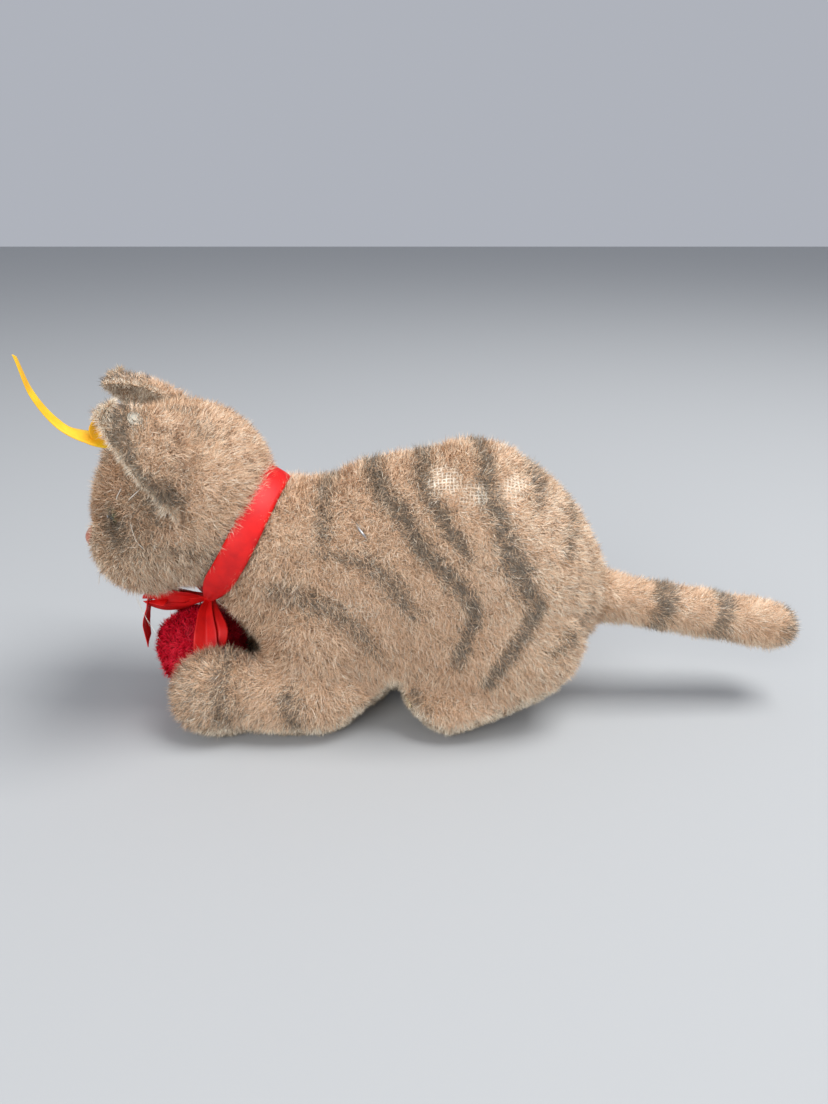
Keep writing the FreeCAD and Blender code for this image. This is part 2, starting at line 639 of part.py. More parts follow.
def make_tail():
    """Three lengths of cover, stuffing and core wire."""
    for index, name in enumerate(TAIL_PARTS):
        start = index * TAIL_PITCH + TAIL_GAP / 2
        tip = index == len(TAIL_PARTS) - 1
        end = TAIL_LENGTH - TAIL_RADIUS if tip else (index + 1) * TAIL_PITCH - TAIL_GAP / 2
        outer = tail_solid(TAIL_RADIUS, start, end, tip)
        inner = tail_solid(TAIL_RADIUS - TAIL_CLOTH, start, end, tip)
        wire = tail_solid(TAIL_WIRE_RADIUS, start, end, False)
        save(outer.cut(inner), "tail_cover_%s" % name)
        save(inner.cut(wire), "tail_stuffing_%s" % name)
        save(wire, "tail_wire_%s" % name)


make_body()
make_head()
make_ears()
make_rivet_and_tag()
make_face()
make_neck()
make_ribbon()
make_ball()
make_tail()
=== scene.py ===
"""Looks of the mohair plush cat, built round its CAD frame. Lengths are in mm, and scaled once."""
import math

import bpy
import numpy as np
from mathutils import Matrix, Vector


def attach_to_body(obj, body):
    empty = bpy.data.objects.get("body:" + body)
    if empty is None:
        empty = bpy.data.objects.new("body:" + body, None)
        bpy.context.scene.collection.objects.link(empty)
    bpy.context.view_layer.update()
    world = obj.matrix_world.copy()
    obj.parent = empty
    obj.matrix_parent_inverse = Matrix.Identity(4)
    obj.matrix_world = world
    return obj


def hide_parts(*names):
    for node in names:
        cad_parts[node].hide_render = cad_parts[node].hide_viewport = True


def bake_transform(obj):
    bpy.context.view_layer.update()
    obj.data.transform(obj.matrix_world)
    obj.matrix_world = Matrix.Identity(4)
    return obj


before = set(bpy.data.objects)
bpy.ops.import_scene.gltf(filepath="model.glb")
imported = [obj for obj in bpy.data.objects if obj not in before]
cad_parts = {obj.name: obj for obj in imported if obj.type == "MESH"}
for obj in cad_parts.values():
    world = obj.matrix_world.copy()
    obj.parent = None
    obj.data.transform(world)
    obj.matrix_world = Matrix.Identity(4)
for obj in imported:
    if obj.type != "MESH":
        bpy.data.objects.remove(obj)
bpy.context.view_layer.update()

MM = 0.001
rng = np.random.default_rng(11)
DENSITY = 1.0

# ---- places shared with the frame
HEAD_CENTRE = np.array([0.0, -70.5, 86.5])
HEAD_TURN = math.radians(15.0)
HEAD_AXES = np.array([[math.cos(HEAD_TURN), math.sin(HEAD_TURN), 0],
                      [-math.sin(HEAD_TURN), math.cos(HEAD_TURN), 0],
                      [0, 0, 1]])
SKULL_RADIUS = 31.6
MUZZLE_CENTRE = np.array([0.0, -16.5, -17.0])
MUZZLE_SIZE = np.array([20.0, 18.0, 17.5])
NECK_CENTRE = np.array([0.0, -50.4, 71.0])
NECK_TILT = math.radians(30.0)
NECK_AXIS = np.array([0.0, -math.cos(NECK_TILT), math.sin(NECK_TILT)])
NECK_UP = np.array([0.0, math.sin(NECK_TILT), math.cos(NECK_TILT)])
RIBBON_RADIUS = 25.8
BALL_CENTRE = np.array([0.0, -71.0, 22.5])
BALL_RADIUS = 17.5
TAIL_ROOT = np.array([0.0, 83.6, 44.6])
TAIL_DROOP = math.radians(10.7)
TAIL_ALONG = np.array([0.0, math.cos(TAIL_DROOP), -math.sin(TAIL_DROOP)])
TAIL_LENGTH = 75.6
TABLE_GAP = 0.15
FILLING_INSET = 0.8
ROOT_SINK = 0.4
SEAM_WIDTH = 0.7
# underside of the body seen from the side: Y and height of its edge at EDGE_SIDE; it drops towards the middle
UNDER_EDGE = [(-100.0, 0.0), (-19.0, 0.6), (-11.4, 7.7), (-4.0, 15.0), (1.6, 21.3), (5.2, 23.0), (8.0, 21.3),
              (10.5, 12.9), (17.9, 4.2), (25.3, 0.7), (36.2, 5.5), (43.4, 8.6), (50.6, 12.0), (57.6, 15.8),
              (64.6, 20.5), (71.3, 27.6), (76.0, 35.7), (90.0, 44.0)]
EDGE_SIDE = 30.0
EDGE_DROP = 0.68


# ---- vectors
def unit(v):
    """Unit vectors along the last axis."""
    v = np.asarray(v, float)
    return v / np.maximum(np.linalg.norm(v, axis=-1, keepdims=True), 1e-9)


def dot(a, b):
    """Dot products along the last axis, kept as a column."""
    return np.sum(a * b, axis=-1, keepdims=True)


def smoothstep(low, high, x):
    """0 below low, 1 above high, smooth between."""
    t = np.clip((x - low) / (high - low), 0.0, 1.0)
    return t * t * (3 - 2 * t)


def head_to_world(points):
    """From head axes to the cat's own frame."""
    return np.asarray(points, float) @ HEAD_AXES + HEAD_CENTRE


def head_turned(vectors):
    """Directions from head axes to the cat's own frame."""
    return head_to_world(vectors) - HEAD_CENTRE


def world_to_head(points):
    """From the cat's own frame to head axes."""
    return (np.asarray(points, float) - HEAD_CENTRE) @ HEAD_AXES.T


def gap_to(points, place, stretch=1.0):
    """Distance of points to a place, with each axis stretched first."""
    return np.linalg.norm((points - np.asarray(place)) * stretch, axis=1)


def bell(gap, reach):
    """1 at no gap, fading smoothly to 0 beyond the reach."""
    return np.exp(-(gap / reach) ** 2)


def round_turn(count):
    """Angles of a whole turn, without its end."""
    return np.linspace(0, 2 * math.pi, count, endpoint=False)


class Waves:
    """Smooth seeded noise between about -1 and 1: a sum of sines in random directions."""

    def __init__(self, size, count=7):
        self.directions = unit(rng.normal(size=(count, 3))) * (2 * math.pi / size)
        self.directions *= rng.uniform(0.6, 1.5, size=(count, 1))
        self.phases = rng.uniform(0, 2 * math.pi, size=count)

    def __call__(self, points):
        return np.sin(points @ self.directions.T + self.phases).sum(axis=1) / math.sqrt(len(self.phases))


def wave_field(size):
    """Smooth seeded vectors: a function from points to one vector each."""
    waves = [Waves(size) for _ in range(3)]
    return lambda points: np.stack([wave(points) for wave in waves], axis=1)


# ---- meshes
def shade_smooth(mesh):
    """Smooth shading on every face."""
    for polygon in mesh.polygons:
        polygon.use_smooth = True


def add_object(name, data):
    """Object in the scene round a mesh, a light or a camera."""
    thing = bpy.data.objects.new(name, data)
    bpy.context.scene.collection.objects.link(thing)
    return thing


def mesh_object(name, points, faces, material=None):
    """Object from points in mm and a list of faces."""
    mesh = bpy.data.meshes.new(name)
    mesh.from_pydata((np.asarray(points, float) * MM).tolist(), [], [list(map(int, f)) for f in faces])
    mesh.update()
    if material:
        mesh.materials.append(material)
    shade_smooth(mesh)
    return add_object(name, mesh)


def apply_modifiers(thing):
    """Replace the mesh by its evaluated form."""
    graph = bpy.context.evaluated_depsgraph_get()
    made = bpy.data.meshes.new_from_object(thing.evaluated_get(graph))
    thing.modifiers.clear()
    thing.data = made
    shade_smooth(made)
    return thing


def thicken(sheet, thickness):
    """Give a sheet its thickness in mm, half to each side."""
    solid = sheet.modifiers.new("thickness", "SOLIDIFY")
    solid.thickness = thickness * MM
    solid.offset = 0.0
    return apply_modifiers(sheet)


def read_vectors(collection, key):
    """Vectors of a mesh's vertices or normals, as rows."""
    values = np.empty(len(collection) * 3, np.float32)
    collection.foreach_get(key, values)
    return values.reshape(-1, 3).astype(float)


def points_of(thing):
    """Vertex places in mm."""
    return read_vectors(thing.data.vertices, "co") / MM


def normals_of(thing):
    """Vertex normals."""
    return read_vectors(thing.data.vertex_normals, "vector")


def move_points(thing, points):
    """Set the vertex places in mm."""
    thing.data.vertices.foreach_set("co", (points * MM).astype(np.float32).ravel())
    thing.data.update()


def attach(piece, body, slot, *nodes):
    """Let a piece ride a body, in place of CAD nodes if any are given; the slot is not used."""
    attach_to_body(piece, body)
    if nodes:
        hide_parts(*nodes)


def cushion_from(name, nodes, voxel, rounds):
    """One smooth stuffed form round some CAD nodes: their union, remeshed and relaxed."""
    points = []
    faces = []
    for node in nodes:
        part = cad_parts[node]
        offset = sum(len(p) for p in points)
        points.append(points_of(part))
        faces.extend([[v + offset for v in polygon.vertices] for polygon in part.data.polygons])
    thing = mesh_object(name, np.vstack(points), faces)
    remesh = thing.modifiers.new("remesh", "REMESH")
    remesh.mode = "VOXEL"
    remesh.voxel_size = voxel * MM
    relax = thing.modifiers.new("relax", "SMOOTH")
    relax.factor = 0.5
    relax.iterations = rounds
    return apply_modifiers(thing)


def filling_of(skin, name, node, body):
    """Stuffing that fills a sculpted skin, in place of the plain CAD one."""
    points = points_of(skin) - normals_of(skin) * FILLING_INSET
    faces = [tuple(polygon.vertices) for polygon in skin.data.polygons]
    attach(mesh_object(name, points, faces, stuffing), body, "stuffing", node)


# ---- materials
def new_material(name):
    """Material with its nodes, its links and its shader."""
    material = bpy.data.materials.new(name)
    material.use_nodes = True
    nodes = material.node_tree.nodes
    return material, nodes, material.node_tree.links, nodes["Principled BSDF"]


def set_inputs(node, values):
    """Set several inputs of a node to plain values."""
    for key, value in values.items():
        node.inputs[key].default_value = value


def texture_mm(nodes, links, per_mm, **values):
    """Noise texture in object space, scaled in repeats per mm."""
    place = nodes.new("ShaderNodeTexCoord")
    texture = nodes.new("ShaderNodeTexNoise")
    links.new(place.outputs["Object"], texture.inputs["Vector"])
    set_inputs(texture, {"Scale": per_mm / MM, **values})
    return texture


def colour_ramp(nodes, links, source, stops):
    """Colour ramp driven by a socket; stops are (place, colour)."""
    ramp = nodes.new("ShaderNodeValToRGB")
    links.new(source, ramp.inputs["Fac"])
    while len(ramp.color_ramp.elements) < len(stops):
        ramp.color_ramp.elements.new(0.5)
    for element, (place, colour) in zip(ramp.color_ramp.elements, stops):
        element.position = place
        element.color = (*colour, 1.0)
    return ramp


def add_bump(nodes, links, shader, height, strength, distance):
    """Bump from a height socket; distance in mm."""
    bump = nodes.new("ShaderNodeBump")
    set_inputs(bump, {"Strength": strength, "Distance": distance * MM})
    links.new(height, bump.inputs["Height"])
    links.new(bump.outputs["Normal"], shader.inputs["Normal"])


def mottled_material(name, per_mm, detail, stops, values):
    """Material whose colour follows noise between two tones, with its nodes, links, shader and noise."""
    material, nodes, links, shader = new_material(name)
    noise = texture_mm(nodes, links, per_mm, Detail=detail)
    ramp = colour_ramp(nodes, links, noise.outputs["Fac"], stops)
    links.new(ramp.outputs["Color"], shader.inputs["Base Color"])
    set_inputs(shader, values)
    return material, nodes, links, shader, noise


def math_node(nodes, links, operation, *sources):
    """Math node fed by sockets or numbers."""
    node = nodes.new("ShaderNodeMath")
    node.operation = operation
    for index, source in enumerate(sources):
        if isinstance(source, (int, float)):
            node.inputs[index].default_value = source
        else:
            links.new(source, node.inputs[index])
    return node.outputs[0]


def woven_material(name, dark, light, pitch):
    """Woven backing cloth with a pitch in mm: threads along the body and across it, darker gaps between."""
    material, nodes, links, shader = new_material(name)
    place = nodes.new("ShaderNodeTexCoord")
    split = nodes.new("ShaderNodeSeparateXYZ")
    links.new(place.outputs["Object"], split.inputs[0])
    noise = texture_mm(nodes, links, 0.2, Detail=2.0)
    wander = math_node(nodes, links, "MULTIPLY", noise.outputs["Fac"], 2.5 * MM)
    sideways = math_node(nodes, links, "ABSOLUTE", split.outputs["X"])
    down = math_node(nodes, links, "SUBTRACT", split.outputs["Z"], sideways)
    threads = []
    for source, share in ((split.outputs["Y"], 1.0), (down, 0.8)):
        shifted = math_node(nodes, links, "ADD", source, wander)
        phase = math_node(nodes, links, "MULTIPLY", shifted, 2 * math.pi * share / (pitch * MM))
        threads.append(math_node(nodes, links, "SINE", phase))
    height = math_node(nodes, links, "MAXIMUM", *threads)
    ramp = colour_ramp(nodes, links, height, [(0.1, dark), (0.85, light)])
    links.new(ramp.outputs["Color"], shader.inputs["Base Color"])
    shader.inputs["Roughness"].default_value = 0.9
    add_bump(nodes, links, shader, height, 0.5, 0.2)
    return material


MOHAIR_SHEEN_TINT = (1.0, 0.90, 0.78, 1.0)
WOOL_SHEEN_TINT = (1.0, 0.25, 0.30, 1.0)


def pile_material(name, colour, sheen, tint=MOHAIR_SHEEN_TINT, shine=0.5):
    """Fibre of one tone, dyed or the painted shade of the roots; each fibre of a pile draws its own tone."""
    material, nodes, links, shader = new_material(name)
    set_inputs(shader, {"Base Color": (*colour, 1.0), "Roughness": 0.42, "Specular IOR Level": shine,
                        "Sheen Tint": tint})
    mottle = texture_mm(nodes, links, 0.12)
    spread = nodes.new("ShaderNodeMapRange")
    set_inputs(spread, {"To Min": sheen * 0.4, "To Max": sheen * 1.6})
    links.new(mottle.outputs["Fac"], spread.inputs["Value"])
    links.new(spread.outputs["Result"], shader.inputs["Sheen Weight"])
    return material


TAN = [(0.75, 0.475, 0.285), (0.85, 0.595, 0.39), (0.58, 0.355, 0.205), (0.95, 0.76, 0.55)]
GREY = [(0.150, 0.118, 0.082), (0.25, 0.20, 0.145)]
CREAM = [(0.84, 0.70, 0.52), (0.94, 0.84, 0.68)]
# painted shade: a darker tone for the lower half of some fibres, standing in for shade deep in the pile
ROOT_SHADE = [(0.47, 0.30, 0.18)]
PILE_TONES = TAN + GREY + CREAM + ROOT_SHADE
pile_materials = [pile_material("mohair_tone_%d" % i, tone, 0.35) for i, tone in enumerate(PILE_TONES)]
# places of the tones in PILE_TONES
LIGHT_TANS = [1, 3, 1, 0]
DARK_TANS = [0, 2, 0, 1]
TONES_GREY = [4, 5]
TONES_CREAM = [6, 7]
TONE_ROOT_SHADE = 8
# shares of fibres that are painted glints (the brightest cream), that have painted shade at the root, that
# are grey on the forelegs (their own grey and painted shade), and that are cream as painted light on the
# haunches and cheeks
PAINTED_GLINT_SHARE = 0.10
ROOT_SHADE_SHARE = 0.35
FORELEG_GREY_AND_SHADE = 0.26
HAUNCH_PAINTED_LIGHT = 0.20
CHEEK_PAINTED_LIGHT = 0.30
# painted shade: the backing under the pile is a dark tan like the fibre roots, for the shade between the
# fibres; the worn backing has the cloth's own pale colour
backing = woven_material("woven_backing_painted_shade", (0.40, 0.27, 0.17), (0.56, 0.39, 0.26), 1.4)
worn_backing = woven_material("worn_backing", (0.42, 0.31, 0.21), (0.93, 0.84, 0.70), 1.4)


# ---- pile
# fibres per mm2 (per mm along the ear's rim), their width in mm, their lay and how wildly they stand;
# the lay is how far a fibre leans the way it is brushed: 0 upright, 1 about 45 degrees
PILES = {
    "body": (9.5, 0.18, 0.66, 0.38),
    "head": (10.5, 0.17, 0.66, 0.36),
    "ear": (11.0, 0.15, 0.55, 0.34),
    "rim": (112.0, 0.18, 0.7, 0.4),
    "tail": (10.5, 0.15, 0.75, 0.32),
    "wool": (15.0, 0.32, 1.5, 0.6),
}


def scatter(thing, kind, wanted=None):
    """Random roots of a kind of pile on a mesh, and its normals there; wanted gives the share kept."""
    data = thing.data
    data.calc_loop_triangles()
    count = len(data.loop_triangles)
    corners = np.empty(count * 3, np.int32)
    data.loop_triangles.foreach_get("vertices", corners)
    corners = corners.reshape(-1, 3)
    points = points_of(thing)
    normals = normals_of(thing)
    a, b, c = (points[corners[:, i]] for i in range(3))
    areas = np.linalg.norm(np.cross(b - a, c - a), axis=1) / 2
    total = int(areas.sum() * PILES[kind][0] * DENSITY)
    which = rng.choice(count, size=total, p=areas / areas.sum())
    r1 = np.sqrt(rng.random(total))[:, None]
    r2 = rng.random(total)[:, None]
    weights = (1 - r1, r1 * (1 - r2), r1 * r2)
    roots = sum(w * points[corners[which, i]] for i, w in enumerate(weights))
    upright = unit(sum(w * normals[corners[which, i]] for i, w in enumerate(weights)))
    if wanted is not None:
        keep = rng.random(total) < wanted(roots, upright)
        roots, upright = roots[keep], upright[keep]
    return roots, upright


def strands(kind, name, roots, upright, comb, length, tones, materials=pile_materials, shaded_root=True):
    """Pile of flat tapered fibres as one mesh; comb is the direction that each is brushed to."""
    _, width, lay, wild = PILES[kind]
    count = len(roots)
    tangent = unit(comb - upright * dot(comb, upright))
    jitter = rng.normal(size=(count, 3)) * wild
    first = unit(upright + tangent * lay * 0.75 + jitter)
    flutter = rng.normal(size=(count, 3)) * wild * 0.5
    second = unit(upright * 0.62 + tangent * lay * 1.15 + jitter * 1.5 + flutter)
    size = length[:, None] * rng.uniform(0.72, 1.18, size=(count, 1))
    start = roots - upright * ROOT_SINK
    bend = start + first * size * 0.5
    tip = bend + second * size * 0.5
    twist = rng.uniform(-0.9, 0.9, size=(count, 1))
    side = unit(np.cross(first, upright) + 1e-6)
    side = side * np.cos(twist) + np.cross(first, side) * np.sin(twist)
    half = side * width / 2 * rng.uniform(0.7, 1.3, size=(count, 1))
    points = np.stack([start - half, start + half, bend - half * 0.8, bend + half * 0.8, tip], axis=1)
    points[..., 2] = np.maximum(points[..., 2], TABLE_GAP)
    face_normal = unit(np.cross(side, first))
    face_normal *= np.where(dot(face_normal, upright) < 0, -1.0, 1.0)
    soft = unit(upright * 0.75 + face_normal * 0.5 + rng.normal(size=(count, 3)) * 0.12)
    return strand_mesh(name, points, soft, tones, materials, shaded_root)


def strand_mesh(name, points, soft, tones, materials, shaded_root):
    """Mesh of many five-point fibres, shaded with soft normals, with painted shade: a darker tone near the
    root of some.
    """
    count = len(points)
    mesh = bpy.data.meshes.new(name)
    mesh.vertices.add(count * 5)
    mesh.vertices.foreach_set("co", (points.reshape(-1) * MM).astype(np.float32))
    mesh.loops.add(count * 7)
    base = (np.arange(count) * 5)[:, None]
    corners = base + np.array([0, 1, 3, 2, 2, 3, 4])[None, :]
    mesh.loops.foreach_set("vertex_index", corners.astype(np.int32).ravel())
    mesh.polygons.add(count * 2)
    starts = (np.arange(count) * 7)[:, None] + np.array([0, 4])[None, :]
    mesh.polygons.foreach_set("loop_start", starts.astype(np.int32).ravel())
    for material in materials:
        mesh.materials.append(material)
    # painted shade: the lower half of some fibres takes the darker root tone
    low = np.where(rng.random(count) < ROOT_SHADE_SHARE, TONE_ROOT_SHADE, tones) if shaded_root else tones
    mesh.polygons.foreach_set("material_index", np.stack([low, tones], axis=1).astype(np.int32).ravel())
    mesh.polygons.foreach_set("use_smooth", np.ones(count * 2, bool))
    mesh.update(calc_edges=True)
    mesh.normals_split_custom_set_from_vertices(np.repeat(soft, 5, axis=0).tolist())
    return add_object(name, mesh)


def halves(x):
    """The left and the right half of some places, by the sign of x."""
    return (("left", x >= 0), ("right", x < 0))


def distance_to_line(points, line):
    """Distance of points to a polyline, and the place along it from 0 to 1."""
    best = np.full(len(points), 1e9)
    place = np.zeros(len(points))
    line = np.asarray(line, float)
    for index in range(len(line) - 1):
        a, b = line[index], line[index + 1]
        t = np.clip(((points - a) @ (b - a)) / ((b - a) @ (b - a)), 0, 1)
        gap = np.linalg.norm(points - (a + t[:, None] * (b - a)), axis=1)
        closer = gap < best
        best[closer] = gap[closer]
        place[closer] = (index + t[closer]) / (len(line) - 1)
    return best, place


def stripe_share(points, stripes, wobble):
    """How grey a place is, from soft-edged stripes: (half width, strength, polyline in Y and Z)."""
    flat = points[:, 1:3] + wobble(points)[:, None] * 0.9
    share = np.zeros(len(points))
    for half_width, strength, line in stripes:
        gap, place = distance_to_line(flat, line)
        taper = 1.0 - 0.45 * np.abs(place - 0.4) ** 2 / 0.36
        reach = STRIPE_SPREAD * half_width * taper
        share = np.maximum(share, strength * (1 - smoothstep(reach * 0.2, reach * 1.6, gap)))
    return share


def draw_tones(grey, cream, mottle):
    """A tone for each fibre from its share of grey, of cream, and light mottling, with some bright cream
    fibres as painted glints.
    """
    count = len(grey)
    light = np.clip(0.5 + 0.30 * mottle, 0.05, 0.95)
    is_light = rng.random(count) < light
    tan = np.where(is_light, rng.choice(LIGHT_TANS, count), rng.choice(DARK_TANS, count))
    # painted highlight: a share of fibres takes the brightest cream as glints
    tan = np.where(rng.random(count) < PAINTED_GLINT_SHARE, TONES_CREAM[1], tan)
    tones = np.where(rng.random(count) < cream, rng.choice(TONES_CREAM, count), tan)
    return np.where(rng.random(count) < grey, rng.choice(TONES_GREY, count), tones)


# ---- coat pattern, in Y and Z
STRIPE_SPREAD = 1.35
# half width, strength and line of each stripe
BODY_STRIPES = [
    (2.6, 0.75, [(-19.5, 99.0), (-19.6, 87.0), (-18.5, 72.0)]),
    (2.9, 1.0, [(-6.6, 100.0), (0.4, 91.4), (15.1, 74.3), (29.5, 59.2), (32.4, 52.2), (26.9, 33.9)]),
    (2.4, 0.95, [(13.5, 104.0), (16.4, 92.0), (22.5, 84.9), (30.0, 73.0)]),
    (2.6, 1.0, [(35.3, 104.0), (36.5, 90.0), (43.9, 73.3), (52.6, 57.0), (49.2, 46.0), (38.1, 27.0)]),
    (2.3, 0.7, [(52.0, 100.0), (54.5, 88.0)]),
    (2.3, 0.6, [(67.0, 88.0), (64.0, 70.0)]),
    (2.3, 0.6, [(73.0, 46.0), (59.0, 36.2)]),
    (2.2, 0.7, [(-13.1, 73.0), (0.4, 66.5), (13.7, 52.0)]),
    (2.6, 0.6, [(-36.0, 60.0), (-17.0, 53.0), (-1.0, 37.0)]),
    (2.6, 0.75, [(-55.1, 36.0), (-58.0, 4.0)]),
    (2.6, 0.75, [(-30.6, 22.0), (-29.7, 2.0)]),
    (2.4, 0.6, [(12.0, 16.0), (16.0, 4.0)]),
]
# middle, radius and strength of each worn patch
WORN_PATCHES = [(22.0, 95.0, 7.0, 0.7), (32.0, 92.0, 6.0, 0.65), (46.0, 93.0, 6.5, 0.7),
                (-7.0, 53.5, 6.5, 0.5), (-32.0, 5.0, 5.0, 0.5), (-24.0, 78.0, 4.0, 0.3)]
WORN_ENOUGH = 0.12


def worn_share(points):
    """How bald the pile is, in the worn patches of the flank and back."""
    share = np.zeros(len(points))
    for y, z, radius, strength in WORN_PATCHES:
        gap = np.hypot(points[:, 1] - y, (points[:, 2] - z) * 1.3)
        share = np.maximum(share, strength * (1 - smoothstep(radius * 0.4, radius * 1.3, gap)))
    return share


# ---- body
BODY_VOXEL = 1.2
BODY_RELAX = 14
BODY_INSET = 1.3
BELLY_ROOM = 2.4
SOLE_HEIGHT = 0.6
BODY_PILE_LENGTH = 5.0
WORN_PILE_LOSS = 2.4
STRIPE_GREY = 0.86
SEAM_GREY = 0.5
# place of the staple in Y and Z, and the radius laid bare round it
STAPLE_PLACE = (-6.0, 79.0)
STAPLE_BARE = 2.4
# pieces of the body's pile: name, start and end along Y
BODY_ZONES = [("forelegs", -math.inf, -20.0), ("shoulders", -20.0, 14.0), ("flanks", 14.0, 42.0),
              ("haunches", 42.0, math.inf)]
BODY_COMB = np.array([0.0, 0.9, -0.55])
FORELEG_COMB = np.array([0.0, -0.9, -0.4])
SIDE_COMB = np.array([[0.35, 0.0, 0.0]])


def under_height(points):
    """Lowest height of the body at each place: it arches behind the elbows and rises to the tail."""
    y, z = np.array(UNDER_EDGE).T
    return np.interp(points[:, 1], y, z) - EDGE_DROP * (EDGE_SIDE - np.abs(points[:, 0]))


def body_skin():
    """Woven skin of the body: the stuffed form, a little inside the CAD cloth so that the pile ends on it."""
    skin = cushion_from("body_skin", ["body_left_panel", "body_right_panel", "belly_gusset", "body_stuffing",
                                      "body_disc", "body_washer"], BODY_VOXEL, BODY_RELAX)
    points = points_of(skin) - normals_of(skin) * BODY_INSET
    points[:, 2] = np.maximum(points[:, 2], np.maximum(under_height(points) + BELLY_ROOM, SOLE_HEIGHT))
    move_points(skin, points)
    skin.data.materials.append(backing)
    skin.data.materials.append(worn_backing)
    centres = np.array([polygon.center[:] for polygon in skin.data.polygons]) / MM
    worn = worn_share(centres) > WORN_ENOUGH
    skin.data.polygons.foreach_set("material_index", worn.astype(np.int32))
    return skin


def body_comb(points):
    """Brushed back and down on the flanks, forward along the forelegs."""
    foreleg = (1 - smoothstep(-34, -14, points[:, 1])) * (1 - smoothstep(26, 36, points[:, 2]))
    along = BODY_COMB * (1 - foreleg[:, None]) + FORELEG_COMB * foreleg[:, None]
    return along + np.sign(points[:, :1]) * SIDE_COMB


def back_seam(points):
    """1 on the seam along the middle of the back and rump, 0 away from it."""
    return bell(points[:, 0], SEAM_WIDTH) * smoothstep(18.0, 26.0, points[:, 2])


def body_pile(skin):
    """Pile of the body in a few pieces, tan with grey stripes, cream underneath, greyer forelegs partly as
    painted shade, and more cream on the haunches as painted light.
    """
    wobble = Waves(22)
    tuft = wave_field(7)
    curl = wave_field(2.4)
    mottle = Waves(13)
    fine = Waves(5)

    def wanted(roots, upright):
        axial = (roots - NECK_CENTRE) @ NECK_AXIS
        radial = np.linalg.norm(np.cross(roots - NECK_CENTRE, NECK_AXIS), axis=1)
        neck_face = (axial > -2.0) & (radial < 24.0)
        under_ribbon = (np.abs(axial) < 4.0) & (radial < 27.0)
        under_ball = gap_to(roots, BALL_CENTRE) < BALL_RADIUS + 0.8
        share = 1.0 - worn_share(roots)
        share[neck_face | under_ball] = 0.0
        share[under_ribbon] *= 0.25
        share[(gap_to(roots[:, 1:], STAPLE_PLACE) < STAPLE_BARE) & (roots[:, 0] > 0)] *= 0.15
        share[roots[:, 2] < 1.0] *= 0.3
        share *= 1.0 - 0.7 * back_seam(roots)
        return share

    roots, upright = scatter(skin, "body", wanted)
    x, y, z = roots.T
    comb = body_comb(roots) + tuft(roots) * 0.55 + curl(roots) * 0.6
    # painted shade: the forelegs are greyer, partly their own grey and partly the shade on the front of the
    # cat
    foreleg = (1 - smoothstep(-62.0, -34.0, y)) * (1 - smoothstep(20.0, 40.0, z))
    grey = np.maximum.reduce([stripe_share(roots, BODY_STRIPES, wobble) * STRIPE_GREY,
                              SEAM_GREY * back_seam(roots), FORELEG_GREY_AND_SHADE * foreleg])
    above = z - np.maximum(under_height(roots) + BELLY_ROOM, 0.0) + wobble(roots) * 0.6
    cream = 0.95 * (1 - smoothstep(1.2, 4.6, above))
    cream = np.maximum(cream, 0.9 * (1 - smoothstep(-0.75, -0.4, upright[:, 2])))
    # painted light: more cream on the haunches, which the light from above and behind makes brighter
    cream = np.maximum(cream, HAUNCH_PAINTED_LIGHT * smoothstep(28.0, 62.0, y) * (1 - grey))
    tones = draw_tones(grey * (1 - cream), cream, 0.6 * mottle(roots) + 0.4 * fine(roots))
    length = BODY_PILE_LENGTH + 0.7 * fine(roots) - WORN_PILE_LOSS * worn_share(roots)
    length *= 0.5 + 0.5 * smoothstep(0.0, 7.0, above)
    for zone, start, end in BODY_ZONES:
        for side, half in halves(x):
            pick = (y >= start) & (y < end) & half
            piece = strands("body", "pile_%s_%s" % (zone, side), roots[pick], upright[pick], comb[pick],
                            length[pick], tones[pick])
            attach(piece, "torso", "tan_mohair")


def make_body():
    """Skin, filling and pile of the body."""
    skin = body_skin()
    attach(skin, "torso", "tan_mohair", "body_left_panel", "body_right_panel", "belly_gusset")
    filling_of(skin, "body_filling", "body_stuffing", "torso")
    body_pile(skin)


# ---- head
EAR_TIP = np.array([29.8, -21.5, 35.5])
EAR_LOW = np.array([31.5, -3.0, 0.5])
EAR_BACK = np.array([16.5, 6.0, 25.5])
EAR_FORWARD = unit(EAR_LOW - EAR_BACK)
FRONT_EDGE = np.array([EAR_TIP + EAR_FORWARD * 2.0, (EAR_TIP + EAR_LOW) / 2 + EAR_FORWARD * 3.0, EAR_LOW])
BACK_EDGE = np.array([EAR_TIP - EAR_FORWARD * 4.0, (EAR_TIP + EAR_BACK) / 2 - EAR_FORWARD * 4.0, EAR_BACK])
RIM_ROOM = 3.2
MIRROR = np.array([-1.0, 1.0, 1.0])
SIDES = ((1, "left"), (-1, "right"))
HEAD_VOXEL = 1.0
HEAD_RELAX = 12
HEAD_INSET = 1.2
HEAD_PILE_LENGTH = 4.9
NOSE_PILE_LOSS = 1.6
COMB_CENTRE = (0.0, -38.0, -10.0)
COMB_BIAS = (0.0, 0.25, -0.2)
